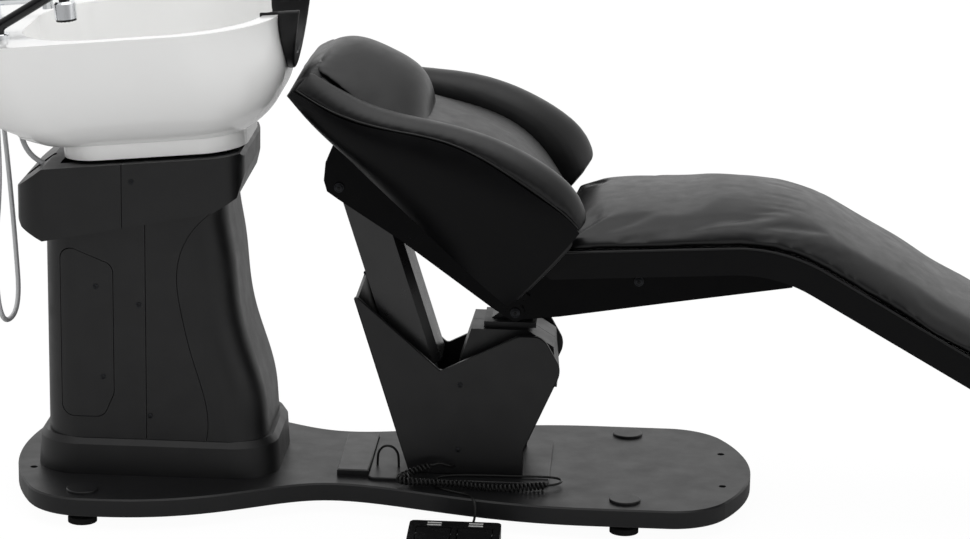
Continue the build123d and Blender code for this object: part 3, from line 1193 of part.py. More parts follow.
def seat_line(height):
    slope = pan_slope()
    rear_lean = math.radians(90 - BACK_ANGLE)
    along = height * (math.tan(math.pi / 2 - rear_lean) + math.tan(slope))
    rear_x = SEAT_REAR_X + along
    corner = seat_corner(height)
    rear = (rear_x, corner[1] - (corner[0] - rear_x) * math.tan(slope))
    leg = math.radians(LEG_ANGLE)
    end_x = KNEE_X + LEG_LENGTH * math.cos(leg) + height * math.sin(leg)
    end_z = KNEE_Z - LEG_LENGTH * math.sin(leg) + height * math.cos(leg)
    return [rear, corner, (end_x, end_z)]


def seat_pan():
    low = seat_line(0.0)
    top = seat_line(PAN_THICK)
    rounds = [PAN_EDGE, KNEE_RADIUS, PAN_EDGE, PAN_EDGE / 2, KNEE_RADIUS + PAN_THICK, PAN_EDGE / 2]
    half = PAN_WIDTH / 2
    tray = side_slab(low + list(reversed(top)), -half, half, rounds)
    floor = seat_line(PAN_WALL)
    lid = seat_line(PAN_THICK * 2)
    for line in (floor, lid):
        line[0] = (line[0][0] + PAN_WALL, line[0][1])
        line[2] = (line[2][0] - PAN_WALL, line[2][1] + PAN_WALL * math.tan(math.radians(LEG_ANGLE)))
    inner = half - PAN_WALL
    return tray - side_slab(floor + list(reversed(lid)), -inner, inner)


def pad_section(place, direction, width_share, height_share):
    half = PAD_WIDTH / 2 * width_share
    draw = PAD_DRAW
    shoulder = PAD_SHOULDER * height_share
    crown = PAD_CROWN * height_share
    base = PAD_DRAW / 5
    widest = shoulder * PAD_WIDEST_SHARE
    plane = Plane(origin=(place[0], 0, place[1]), x_dir=(0, 1, 0), z_dir=(direction[0], 0, direction[1]))
    edges = [Line((-half + base, 0), (half - base, 0)),
             ThreePointArc((half - base, 0), (half, widest), (half - draw, shoulder)),
             ThreePointArc((half - draw, shoulder), (0, crown), (-half + draw, shoulder)),
             ThreePointArc((-half + draw, shoulder), (-half, widest), (-half + base, 0))]
    return plane * make_face(edges)


def seat_pad():
    points = seat_line(PAN_THICK + GAP)
    path = FilletPolyline(*points, radius=KNEE_RADIUS + PAN_THICK)
    lean = math.radians(BACK_ANGLE)
    sections = []
    for share, width, height in PAD_SECTION_SHARES:
        place = path @ share
        aim = path % share
        direction = (aim.X, aim.Y)
        if share == 0:
            direction = (math.cos(lean), -math.sin(lean))
        sections.append(pad_section((place.X, place.Y), direction, width, height))
    return loft(sections) - seat_pan()


# Back


def back_plane(share):
    x, z = back_place(share * BACK_LENGTH, 0)
    angle = math.radians(BACK_ANGLE)
    return Plane(origin=(x, 0, z), x_dir=(0, -1, 0), z_dir=(-math.cos(angle), 0, math.sin(angle)))


def back_span(s0, s1):
    """A slab across the bed between two distances along the back."""
    far = BACK_LENGTH * 2
    return side_slab([back_place(s0, -far), back_place(s1, -far), back_place(s1, far), back_place(s0, far)],
                     -far, far)


def shell_section(k, inset):
    share = STATION_SHARES[k]
    rim = RIM_SHARES[k] * BACK_HEIGHT + (OVERRUN if inset else 0)
    half = HALF_SHARES[k] * BACK_HALF - inset
    base = BASE_SHARES[k] * BACK_HALF - inset
    foot = FOOT_SHARES[k] * BACK_HEIGHT + inset
    side = (base + (half - base) * SHELL_BULGE_SHARES[0], foot + (rim - foot) * SHELL_BULGE_SHARES[1])
    edges = [Line((-base, foot), (base, foot)), ThreePointArc((base, foot), side, (half, rim)),
             Line((half, rim), (-half, rim)), ThreePointArc((-half, rim), (-side[0], side[1]), (-base, foot))]
    return back_plane(share) * make_face(edges)


def back_shell():
    count = len(STATION_SHARES)
    outer = loft([shell_section(k, 0.0) for k in range(count)])
    inner = loft([shell_section(k, SHELL_WALL) for k in range(count)])
    return outer - (inner & back_span(-BACK_LENGTH, STATION_SHARES[-1] * BACK_LENGTH - SHELL_WALL))


def back_board():
    count = len(STATION_SHARES)
    sections = []
    for k in range(count):
        low = BOARD_SHARES[k] * BACK_HEIGHT
        base = BASE_SHARES[k] * BACK_HALF - SHELL_WALL * 2
        sections.append(back_plane(STATION_SHARES[k]) * make_face(
            Polyline((-base, low), (base, low), (base, low + BOARD_THICK), (-base, low + BOARD_THICK), close=True)))
    s0 = STATION_SHARES[0] * BACK_LENGTH
    s1 = STATION_SHARES[-1] * BACK_LENGTH - SHELL_WALL - GAP
    board = loft(sections, ruled=True) & back_span(s0, s1)
    room = loft([shell_section(k, SHELL_WALL + GAP * 2) for k in range(count)])
    for share in RIB_PLACE_SHARES:
        s = share * BACK_LENGTH
        half = BASE_SHARES[1] * BACK_HALF / 2
        foot = FOOT_SHARES[1] * BACK_HEIGHT + SHELL_WALL + GAP / 3
        high = BOARD_SHARES[-1] * BACK_HEIGHT + BOARD_THICK / 2
        rib = side_slab([back_place(s, foot), back_place(s + BOARD_THICK, foot), back_place(s + BOARD_THICK, high),
                         back_place(s, high)], -half, half)
        board = board + rib
    return board & room


def cushion_section(k, crown):
    top = TOP_SHARES[k] * BACK_HEIGHT
    half = INNER_SHARES[k] * BACK_HALF - GAP * 4
    low = BOARD_SHARES[k] * BACK_HEIGHT + BOARD_THICK + GAP
    base = min(half, BASE_SHARES[k] * BACK_HALF - SHELL_WALL)
    side = top - CUSHION_SIDE * 3
    flat = half - CUSHION_SIDE * 2
    corner = (half - CUSHION_SIDE / 3, top - CUSHION_SIDE)
    edges = [Line((-base, low), (base, low)), Line((base, low), (half, side)),
             ThreePointArc((half, side), corner, (flat, top)),
             ThreePointArc((flat, top), (0, top + crown), (-flat, top)),
             ThreePointArc((-flat, top), (-corner[0], corner[1]), (-half, side)), Line((-half, side), (-base, low))]
    return back_plane(STATION_SHARES[k]) * make_face(edges)


def back_cushion():
    sections = [cushion_section(k, CUSHION_CROWN * CROWN_SHARES[k]) for k in range(len(STATION_SHARES))]
    cushion = loft(sections)
    return cushion & back_span(-BACK_LENGTH, STATION_SHARES[-1] * BACK_LENGTH - SHELL_WALL - GAP)


def bolster_section(k, sign):
    rim = RIM_SHARES[k] * BACK_HEIGHT + GAP * 3
    half = HALF_SHARES[k] * BACK_HALF
    inner = INNER_SHARES[k] * BACK_HALF + GAP
    top = TOP_SHARES[k] * BACK_HEIGHT
    crest = CREST_SHARES[k] * BACK_HEIGHT
    seat = half - SHELL_WALL - GAP * 4
    low = max(rim - BOLSTER_TUCK, FOOT_SHARES[k] * BACK_HEIGHT + SHELL_WALL + GAP * 4)
    apex = inner + (half - inner) * WING_APEX_SHARE
    outer_bulge = (half - (half - apex) * WING_OUTER_SHARES[0], rim + (crest - rim) * WING_OUTER_SHARES[1])
    inner_bulge = (inner + (apex - inner) * WING_INNER_SHARES[0], crest - (crest - top) * WING_INNER_SHARES[1])
    edges = [Line((sign * seat, rim), (sign * half, rim)),
             ThreePointArc((sign * half, rim), (sign * outer_bulge[0], outer_bulge[1]), (sign * apex, crest)),
             ThreePointArc((sign * apex, crest), (sign * inner_bulge[0], inner_bulge[1]), (sign * inner, top)),
             Line((sign * inner, top), (sign * inner, top - BOLSTER_TUCK)),
             Line((sign * inner, top - BOLSTER_TUCK), (sign * (seat - BOLSTER_TUCK / 2), low)),
             Line((sign * (seat - BOLSTER_TUCK / 2), low), (sign * seat, rim))]
    return back_plane(STATION_SHARES[k]) * make_face(edges)


def bolster(sign):
    return loft([bolster_section(k, sign) for k in range(len(STATION_SHARES))])


def share_at(place, places, values):
    for k in range(len(places) - 1):
        if place <= places[k + 1]:
            part = (place - places[k]) / (places[k + 1] - places[k])
            return values[k] + (values[k + 1] - values[k]) * part
    return values[-1]


def pillow_section(k):
    place = PILLOW_STATION_SHARES[k]
    crown = CUSHION_CROWN * share_at(place, STATION_SHARES, CROWN_SHARES)
    low = share_at(place, STATION_SHARES, TOP_SHARES) * BACK_HEIGHT + crown - PILLOW_SINK
    top = PILLOW_TOP_SHARES[k] * BACK_HEIGHT
    half = PILLOW_HALF_SHARES[k] * BACK_HALF
    side = half - CUSHION_SIDE * 3
    shoulder = low + (top - low) * PILLOW_SHOULDER_SHARE
    middle = (low + shoulder) / 2
    edges = [Line((-side, low), (side, low)), ThreePointArc((side, low), (half, middle), (side, shoulder)),
             ThreePointArc((side, shoulder), (0, top), (-side, shoulder)),
             ThreePointArc((-side, shoulder), (-half, middle), (-side, low))]
    return back_plane(place) * make_face(edges)


def head_pillow():
    return loft([pillow_section(k) for k in range(len(PILLOW_STATION_SHARES))]) - back_cushion()


# Footswitch


def switch_places():
    return SWITCH_Y + SWITCH_DEPTH / 2, SWITCH_Y - SWITCH_DEPTH / 2


def switch_base():
    slab = round_slab(SWITCH_LENGTH, SWITCH_DEPTH, SWITCH_CORNER, SWITCH_X, SWITCH_FOOT,
                      SWITCH_FOOT + SWITCH_BASE_THICK, SWITCH_Y)
    return slab


def switch_feet():
    feet = []
    for sx in (-1, 1):
        for sy in (-1, 1):
            x = SWITCH_X + sx * (SWITCH_LENGTH / 2 - SWITCH_CORNER)
            y = SWITCH_Y + sy * (SWITCH_DEPTH / 2 - SWITCH_CORNER)
            feet.append(post(SWITCH_CORNER / 2, x, y, 0, SWITCH_FOOT))
    return feet


def pedal_far_y():
    return SWITCH_Y + SWITCH_DEPTH / 2 - (SWITCH_DEPTH - PEDAL_LENGTH) + SWITCH_WALL * 2


def switch_housing():
    low = SWITCH_FOOT + SWITCH_BASE_THICK
    far, near = switch_places()
    tall = round_slab(SWITCH_LENGTH, SWITCH_DEPTH, SWITCH_CORNER, SWITCH_X, low, SWITCH_HEIGHT, SWITCH_Y)
    plane = Plane(origin=(SWITCH_X - SWITCH_LENGTH, 0, 0), x_dir=(0, 1, 0), z_dir=(1, 0, 0))
    step = pedal_far_y() + SWITCH_WALL
    high = SWITCH_HEIGHT * 2
    over = Polyline((step, SWITCH_HEIGHT), (near - OVERRUN, SWITCH_FRONT_HEIGHT), (near - OVERRUN, high),
                    (far + OVERRUN, high), (far + OVERRUN, SWITCH_HEIGHT - SWITCH_WALL),
                    (far - SWITCH_WALL, SWITCH_HEIGHT), close=True)
    body = tall - extrude(plane * make_face(over), amount=SWITCH_LENGTH * 2)
    hollow = round_slab(SWITCH_LENGTH - SWITCH_WALL * 2, SWITCH_DEPTH - SWITCH_WALL * 2, SWITCH_CORNER - SWITCH_WALL,
                        SWITCH_X, low - OVERRUN, SWITCH_FRONT_HEIGHT - SWITCH_WALL, SWITCH_Y)
    body = body - hollow
    for side in (-1, 1):
        x = SWITCH_X + side * PEDAL_PITCH / 2
        half = PEDAL_WIDTH / 2 + SWITCH_WALL / 2
        body = body - block(x - half, x + half, near + SWITCH_WALL, step, low, SWITCH_HEIGHT * 2)
    ridge = block(SWITCH_X - RIDGE_WIDTH / 2, SWITCH_X + RIDGE_WIDTH / 2, near + SWITCH_WALL, step,
                  SWITCH_FRONT_HEIGHT - SWITCH_WALL, SWITCH_HEIGHT + RIDGE_RAISE / 3)
    return body + ridge


def pedal_z():
    return SWITCH_FRONT_HEIGHT - PEDAL_PIN


def pedal_pins():
    y = pedal_far_y() - PEDAL_PIN * 2
    reach = PEDAL_PITCH / 2 + PEDAL_WIDTH / 2 + SWITCH_WALL
    return Pos(SWITCH_X, y, pedal_z()) * Rot(0, 90, 0) * Cylinder(PEDAL_PIN, reach * 2)


def pedal(side):
    x = SWITCH_X + side * PEDAL_PITCH / 2
    half = PEDAL_WIDTH / 2
    far = pedal_far_y()
    near = SWITCH_Y - SWITCH_DEPTH / 2 + SWITCH_WALL * 2
    plane = Plane(origin=(x - half, 0, 0), x_dir=(0, 1, 0), z_dir=(1, 0, 0))
    high = SWITCH_HEIGHT
    low = high - (high - SWITCH_FRONT_HEIGHT) * PEDAL_DROP_SHARE
    side_line = Polyline((far, high - PEDAL_THICK), (near, low - PEDAL_THICK), (near, low), (far, high), close=True)
    plate = extrude(plane * make_face(side_line), amount=half * 2)
    y = far - PEDAL_PIN * 2
    eye = Pos(x, y, pedal_z()) * Rot(0, 90, 0) * Cylinder(PEDAL_PIN * 2, half * 2)
    web = block(x - half, x + half, y - PEDAL_PIN, y + PEDAL_PIN, pedal_z(), high - PEDAL_THICK)
    bore = Pos(x, y, pedal_z()) * Rot(0, 90, 0) * Cylinder(PEDAL_PIN + RUN_FIT, half * 4)
    return plate + eye + web - bore


def pedal_strips():
    strips = []
    step = pedal_far_y() + SWITCH_WALL
    middle = (step + SWITCH_Y + SWITCH_DEPTH / 2 - SWITCH_WALL) / 2
    for side in (-1, 1):
        x = SWITCH_X + side * PEDAL_PITCH / 2
        for row in (-1, 1):
            y = middle + row * STRIP_SPREAD
            strips.append(block(x - STRIP_LENGTH / 2, x + STRIP_LENGTH / 2, y - STRIP_WIDTH / 2, y + STRIP_WIDTH / 2,
                                SWITCH_HEIGHT, SWITCH_HEIGHT + STRIP_THICK))
    return strips


# Screws


def screw_shank(x, z, half, sign):
    y0, y1 = sorted((sign * half, sign * (half - SCREW_REACH)))
    return cross_rod(SCREW_SHANK, x, z, y0, y1)


def round_screw(x, z, half, sign):
    y0, y1 = sorted((sign * half, sign * (half + SCREW_RAISE)))
    return cross_rod(SCREW_HEAD, x, z, y0, y1) + screw_shank(x, z, half, sign)


def cover_screws(make=round_screw):
    half = COLUMN_WIDTH / 2
    screws = []
    for sign in (-1, 1):
        screws += [make(x, z, half, sign) for x, z in COLUMN_SCREWS]
        screws += [make(x, z, COLLAR_WIDTH / 2, sign) for x, z in COLLAR_SCREWS]
    return screws


def housing_screws(make=round_screw):
    screws = []
    for sign in (-1, 1):
        for a, b in HOUSING_SCREW_SHARES:
            x = HOUSING_REAR_X + HOUSING_LENGTH * a
            z = HOUSING_FOOT_Z + HOUSING_HEIGHT * b
            screws.append(make(x, z, HOUSING_WIDTH / 2, sign))
    return screws


def drill(shape, rods):
    for rod in rods:
        shape = shape - rod
    return shape


# Cords


def cord_radii(points):
    """A radius for each bend: 0.45 of the shorter run beside it, over the tangent of half the turn."""
    radii = []
    for k in range(1, len(points) - 1):
        a = Vector(*points[k]) - Vector(*points[k - 1])
        b = Vector(*points[k + 1]) - Vector(*points[k])
        turn = math.radians(a.get_angle(b))
        radii.append(CORD_BEND_SHARE * min(a.length, b.length) / math.tan(turn / 2))
    return radii


def cord(name, points, radius):
    radii = cord_radii(points)
    path = FilletPolyline(*points, radius=radii)
    print(name, "length", round(path.length, 1), "least turn", round(min(radii), 1))
    tube = sweep(Plane(origin=path @ 0, z_dir=path % 0) * Circle(radius), path=path)
    print(name, "volume share", round(tube.volume / (math.pi * radius ** 2 * path.length), 4))
    return tube


def supply_holes():
    """Room for the pipe, also where the tilting bowl swings it down."""
    holes = []
    for drop in (0, SUPPLY_SWING):
        route = [(x, y, z - drop) for x, y, z in SUPPLY_ROUTE[1:]]
        holes += [long_rod(SUPPLY_HOLE, a, b) for a, b in zip(route, route[1:])]
    return holes


def supply_pipe():
    return cord("supply_pipe", SUPPLY_ROUTE, SUPPLY_RADIUS)


def shower_hose():
    return cord("shower_hose", HOSE_ROUTE, HOSE_RADIUS)


def control_lead():
    return cord("control_lead", LEAD_ROUTE, CORD_RADIUS)


def spare_loop():
    return cord("spare_loop", SPARE_LOOP_ROUTE, CORD_RADIUS)


def smooth_step(value):
    value = min(max(value, 0.0), 1.0)
    return value * value * (3 - 2 * value)


def coil_point(axis, place):
    """A point of the curls, at a place from 0 to 1 of the length of the line that they go round."""
    run = place * axis.length
    along = axis.tangent_at(run, position_mode=PositionMode.LENGTH)
    middle = axis.position_at(run, position_mode=PositionMode.LENGTH)
    side = Vector(-along.Y, along.X, 0).normalized()
    up = along.cross(side)
    lead = CORD_RADIUS * 2
    curls = max(run - lead, 0) / coil_pitch(axis)
    grown = smooth_step((run - lead) / COIL_PITCH) * smooth_step((axis.length - run - lead) / COIL_PITCH)
    turn = 2 * math.pi * curls
    reach = (COIL_OUTER - CORD_RADIUS) * grown
    return middle + side * (reach * math.cos(turn)) + up * (reach * math.sin(turn))


def coil_aim(axis, place):
    step = COIL_STEP / axis.length
    return (coil_point(axis, min(place + step, 1)) - coil_point(axis, max(place - step, 0))).normalized()


def two_arcs(start, aim, end, end_aim):
    """Two arcs that leave one point along a line and come into another along a second line."""
    span = end - start
    both = aim + end_aim
    square = 2 * (1 - aim.dot(end_aim))
    reach = (-span.dot(both) + math.sqrt(span.dot(both) ** 2 + square * span.dot(span))) / square
    first = start + aim * reach
    last = end - end_aim * reach
    joint = (first + last) * 0.5
    arcs = []
    for a, corner, b in ((start, first, joint), (joint, last, end)):
        chord = (a + b) * 0.5
        weight = (b - a).length / 2 / reach
        arcs.append(ThreePointArc(a, (chord + corner * weight) * (1 / (1 + weight)), b))
    return arcs


def coil_curls(axis):
    return int((axis.length - CORD_RADIUS * 4) / COIL_PITCH)


def coil_pitch(axis):
    return (axis.length - CORD_RADIUS * 4) / coil_curls(axis)


def coil_places(axis):
    lead = CORD_RADIUS * 2
    curls = coil_curls(axis)
    pitch = coil_pitch(axis)
    steps = [lead]
    for k in range(curls):
        parts = 4 if k in (0, 1, curls - 2, curls - 1) else 2
        steps += [lead + pitch * (k + (part + 1) / parts) for part in range(parts)]
    return [step / axis.length for step in steps]


def least_gap(points, near):
    """The least gap of the tube to itself, between points that are most of a curl or more apart."""
    least = (points[0] - points[-1]).length
    for k, point in enumerate(points):
        for other in points[k + near:k + near * 4]:
            least = min(least, (point - other).length)
    return least - CORD_RADIUS * 2


def cord_coil():
    axis = FilletPolyline(*COIL_ROUTE, radius=list(COIL_BENDS))
    places = coil_places(axis)
    edges = [Line(axis @ 0, coil_point(axis, places[0]))]
    for a, b in zip(places, places[1:]):
        edges += two_arcs(coil_point(axis, a), coil_aim(axis, a), coil_point(axis, b), coil_aim(axis, b))
    edges.append(Line(coil_point(axis, places[-1]), axis @ 1))
    path = Wire(edges)
    tube = sweep(Plane(origin=path @ 0, z_dir=path % 0) * Circle(CORD_RADIUS), path=path)
    per_curl = 24
    count = int(axis.length / COIL_PITCH * per_curl)
    points = [coil_point(axis, k / count) for k in range(count + 1)]
    print("cord_coil length", round(path.length, 1), "curls", coil_curls(axis), "least gap",
          round(least_gap(points, per_curl * 3 // 4), 2))
    print("cord_coil volume share", round(tube.volume / (math.pi * CORD_RADIUS ** 2 * path.length), 4))
    return tube


def pedal_lead():
    return cord("pedal_lead", PEDAL_LEAD_ROUTE, CORD_RADIUS)


def build_base():
    save("base_plate", base_plate())
    save("plate_caps", Compound(plate_caps()))
    save("foot_pads", Compound(foot_pads()))
    save("foot_studs", group(foot_studs() + foot_nuts()))
    save("mount_flange", mount_flange())
    save("cable_box", cable_box())


def build_pedestal():
    save("plinth", plinth())
    shanks = cover_screws(screw_shank)
    rear, front, service, hatches = column_pieces()
    save("column_rear_cover", drill(rear, shanks))
    save("column_front_cover", drill(front, shanks))
    save("service_panel", service)
    save("side_hatches", group([drill(hatch, shanks) for hatch in hatches]))
    collar = drill(collar_shell() - collar_well(), supply_holes() + shanks)
    save("collar_halves", group([cut_seam(collar, COLLAR_SEAM_X, rear) for rear in (True, False)]))
    save("inner_frame", inner_frame())
    save("stop_pad", stop_pad())
    save("waste_trap", waste_trap())


def build_basin():
    save("bowl", bowl())
    save("bowl_bracket", bowl_bracket())
    save("neck_rest", neck_rest())
    save("drain_flange", drain_flange())
    save("drain_strainer", drain_strainer())
    save("tap_body", group([tap_body(), tap_nut()]))
    save("tap_dome", tap_dome())
    save("tap_lever", tap_lever())
    save("shower_holder", shower_holder())
    save("hand_shower", hand_shower())
    save("spray_face", spray_face())
    save("shower_hose", shower_hose())
    save("supply_pipe", supply_pipe())


def build_lift():
    shanks = housing_screws(screw_shank)
    gland = long_rod(CORD_RADIUS, LEAD_ROUTE[0], LEAD_ROUTE[1])
    save("side_panels", group([drill(side_panel(side), shanks + [gland]) for side in (-1, 1)]))
    save("end_covers", group([rear_cover(), front_cover()]))
    save("top_covers", group([top_cover(side) for side in (-1, 1)]))
    save("lift_frame", lift_frame())
    save("frame_pins", group([drive_pin(), hinge_pin()]))
    save("drive_tube", drive_tube())
    save("drive_rod", drive_rod())
    save("lift_arm", lift_arm())
    save("pivot_bracket", pivot_bracket())
    save("case_screws", group(cover_screws() + housing_screws()))


def build_bed():
    save("back_beam", back_beam())
    save("seat_beam", seat_beam())
    save("bed_pins", group([pivot_pin(), arm_pin()]))
    save("pivot_bushes", Compound(pivot_bushes()))
    save("seat_bolts", Compound(seat_bolts()))
    save("seat_pan", seat_pan())
    save("seat_pad", seat_pad())
    save("back_shell", back_shell())
    save("back_board", back_board())
    save("back_cushion", back_cushion())
    save("near_bolster", bolster(1) - back_shell())
    save("far_bolster", bolster(-1) - back_shell())
    save("head_pillow", head_pillow())


def build_footswitch():
    save("switch_base", group([switch_base()] + switch_feet()))
    gland = long_rod(CORD_RADIUS, PEDAL_LEAD_ROUTE[-2], PEDAL_LEAD_ROUTE[-1])
    save("switch_housing", drill(switch_housing(), [pedal_pins(), gland]))
    save("pedal_pins", pedal_pins())
    save("up_pedal", pedal(-1))
    save("down_pedal", pedal(1))
    save("pedal_strips", Compound(pedal_strips()))
    save("control_leads", group([control_lead(), spare_loop()]))
    save("cord_coil", cord_coil())
    save("pedal_lead", pedal_lead())


os.makedirs("parts", exist_ok=True)
build_base()
build_pedestal()
build_basin()
build_lift()
build_bed()
build_footswitch()
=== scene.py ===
import json
import math

import bmesh
import bpy
import numpy as np
from mathutils import Matrix, Vector
from mathutils.bvhtree import BVHTree


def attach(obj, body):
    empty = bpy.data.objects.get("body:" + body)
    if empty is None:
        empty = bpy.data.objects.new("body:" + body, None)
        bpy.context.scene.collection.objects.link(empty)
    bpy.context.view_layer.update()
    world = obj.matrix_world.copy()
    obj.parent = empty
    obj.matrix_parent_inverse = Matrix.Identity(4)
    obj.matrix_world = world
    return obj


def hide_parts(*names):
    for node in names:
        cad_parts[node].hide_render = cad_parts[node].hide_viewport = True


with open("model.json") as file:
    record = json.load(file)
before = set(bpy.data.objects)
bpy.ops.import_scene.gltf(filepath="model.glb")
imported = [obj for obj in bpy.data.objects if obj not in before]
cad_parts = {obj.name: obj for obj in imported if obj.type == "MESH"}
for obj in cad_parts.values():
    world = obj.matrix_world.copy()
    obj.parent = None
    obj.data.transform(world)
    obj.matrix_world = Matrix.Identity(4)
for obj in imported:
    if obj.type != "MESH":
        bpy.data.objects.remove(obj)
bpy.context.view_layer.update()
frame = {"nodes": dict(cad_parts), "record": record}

# Dressing of the hair washing bed. Metres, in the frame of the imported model: X runs from the
# basin to the feet, Y from the near side to the far side, Z up.

scene = bpy.context.scene
scene.view_settings.view_transform = "Standard"
MM = 0.001

# The photograph's camera
VIEW_TURN = math.radians(3.0)
VIEW_RISE = math.radians(15.0)
VIEW_ROLL = math.radians(1.1)
VIEW_DISTANCE = 6.0
PICTURE_WIDTH = 970
PICTURE_HEIGHT = 539
FOCAL_PIXELS = 3125.0
SENSOR = 36.0
SEEN_SPOT = Vector((0.0, 0.0, 0.060))
SEEN_PIXEL = (385.0, 458.0)

# Cord routes, as points that the cords bend towards
HOSE_ROUTE = ((-755, 70, 806), (-738, 44, 716), (-722, 16, 612), (-710, 8, 470), (-702, 4, 330), (-716, -112, 330),
              (-724, -116, 470), (-708, -126, 598), (-706, -142, 716), (-710, -150, 832))
SUPPLY_ROUTE = ((-690, -40, 742), (-688, -40, 694), (-676, -40, 654), (-648, -40, 629), (-606, -40, 615))
LEAD_ROUTE = ((139.6, -92, 81.2), (137, -114, 85), (115.8, -124.9, 96.5), (100, -128, 92))
COIL_ROUTE = ((100, -128, 92), (44, -138, 76), (40, -174, 72), (128, -174, 76), (206, -177, 69), (258, -177, 68.6),
              (318, -152, 68.6))
PEDAL_LEAD_ROUTE = ((318, -152, 68.6), (334, -145.3, 68.6), (344, -131, 69), (341, -113, 69), (324, -105.5, 69),
                    (300, -104.5, 69), (258, -107, 69), (208, -108, 69), (158, -111, 69), (122, -118, 69),
                    (103, -136, 69.5), (102, -154, 63), (122, -176, 62.6), (148, -192, 62.6), (172, -202, 62.6),
                    (184, -228, 66), (190, -243, 44), (184, -246, 14), (170, -252, 8.2), (160, -272, 12))
SPARE_LOOP_ROUTE = ((32, -66, 66), (32, -66, 79), (30, -65, 94), (20, -63, 105), (4, -61, 106), (-7, -59, 94),
                    (-9, -58, 79), (-9, -58, 66))
HOSE_RADIUS = 4.9 * MM
SUPPLY_RADIUS = 5.0 * MM
CORD_RADIUS = 2.3 * MM
COIL_OUTER = 8.0 * MM
COIL_PITCH = 7.6 * MM
CURL_POINTS = 12
HOSE_RIB = 2.6 * MM
HOSE_RIB_DEPTH = 0.5 * MM
HOSE_SIDES = 14

# The back of the bed, by stations along it from the pivot
PIVOT = Vector((0.247, 0.0, 0.378))
BACK_ANGLE = math.radians(40.0)
BACK_LENGTH = 0.600
BACK_HEIGHT = 0.300
BACK_HALF = 0.300
STATIONS = (0.073, 0.217, 0.40, 0.55, 0.717, 0.867, 0.983)
RIM_SHARES = (0.80, 0.81, 0.763, 0.667, 0.455, 0.30, 0.22)
HALF_SHARES = (0.96, 0.987, 0.98, 0.933, 0.833, 0.707, 0.573)
INNER_SHARES = (0.653, 0.64, 0.633, 0.62, 0.56, 0.527, 0.467)
TOP_SHARES = (0.653, 0.747, 0.74, 0.62, 0.487, 0.427, 0.36)

# The seat and leg pad, whose underside runs from its rear to a bend at the knee and on down the leg
SEAT_REAR = Vector((0.292, 0.0, 0.484))
KNEE = Vector((0.722, 0.0, 0.509))
LEG_ANGLE = math.radians(29.5)
LEG_LENGTH = 0.640
KNEE_RADIUS = 0.260
PAN_THICK = 0.050
PAN_HALF = 0.222
PIPING_CORNER = 24 * MM
PIPING_REAR_INSET = 9 * MM
PIPING_FOOT_INSET = 3 * MM
PIPING_POINTS = 420

# The head pillow's seam, as places along the back, across it and up from its line
PILLOW_SEAM = ((0.588, 0.150, 0.560), (0.64, 0.152, 0.50), (0.70, 0.153, 0.462), (0.775, 0.150, 0.43),
               (0.86, 0.143, 0.415), (0.94, 0.128, 0.405))

# How much wider and rounder the pillow's cover is than its solid
PILLOW_SPREAD = 1.12
PILLOW_HALF = 0.172
PILLOW_DOME = 1.16

# How far across the soft edge beside the pillow reaches, at each place of its seam
SHOULDER_HALVES = (0.190, 0.186, 0.180, 0.172, 0.166, 0.160)

# The roll at the head end: its section along and up from the back's line, and its half widths by height
HEAD_END_SECTION = ((0.90, 0.24), (0.985, 0.22), (0.988, 0.36), (0.972, 0.44), (0.90, 0.45))
HEAD_END_HALVES = ((1.0, 0.110), (0.84, 0.166))

# The rolled front edge of a wing, as places along the back, across it and up from its line
WING_FRONT = ((0.20, 0.285, 0.765), (0.115, 0.285, 0.745), (0.062, 0.283, 0.70), (0.055, 0.280, 0.60),
              (0.050, 0.262, 0.41), (0.062, 0.225, 0.21))
FRONT_ROLL = 5.5 * MM
ROLL_SIDES = 14

# The basin's own frame, and where in it the hand shower's metal head begins: beyond U, and below W
BOWL_SPOT = (-0.434, 0.0, 0.671)
BOWL_TILT = math.radians(5.5)
SHOWER_HEAD_U = -0.137
SHOWER_HEAD_W = 0.2998

# Fasteners: the middle of each head on the near side, as (X, Y, Z), in millimetres as are the sizes
COVER_SCREWS = ((-449, -148, 391), (-429, -148, 176), (-529, -148, 424), (-517, -148, 250), (-457, -170, 630),
                (147.9, -100, 242.3), (145.9, -100, 115.2))
BED_BOLTS = ((247, -69, 378), (-85, -69, 608), (476, -62.7, 445))
SCREW_HEAD = 4.2
SCREW_RAISE = 1.5
BOLT_HEAD = 8.0
BOLT_RAISE = 5.0
HEAD_FLAT = 0.35
# Width share and depth of the dark hexagon painted as shade in each screw's socket
SOCKET_SHARE = 0.45
SOCKET_DEPTH = 0.8 * MM

# Upholstery
COVER_VOXEL = 6.0 * MM
PAD_VOXEL = 9.0 * MM
FOAM_VOXEL = 4.0 * MM
NECK_VOXEL = 2.5 * MM
COVER_DRAW = 2 * MM
COVER_FRAMES = 20
COVER_PRESSURE = 4.0
WELT_RADIUS = 2.4 * MM
WELT_SIDES = 10
STITCH_BESIDE = 9 * MM
STITCH_PITCH = 5.0 * MM
STITCH_LENGTH = 3.4 * MM
STITCH_RADIUS = 0.35 * MM
STITCH_LIFT = STITCH_RADIUS * 0.6

# What a tree of repeated solids takes in, by name
REPEAT_INPUTS = {"Radius": "NodeSocketFloat", "Depth": "NodeSocketFloat", "Scale": "NodeSocketVector",
                 "Finish": "NodeSocketMaterial"}

# Floor and lamps
FLOOR_HALF = 12.0
FLOOR_GLOW = 1.07
GLOW_SHARE = 0.9
OVERHEAD_WATTS = 26.0
FRONT_WATTS = 46.0


# Camera

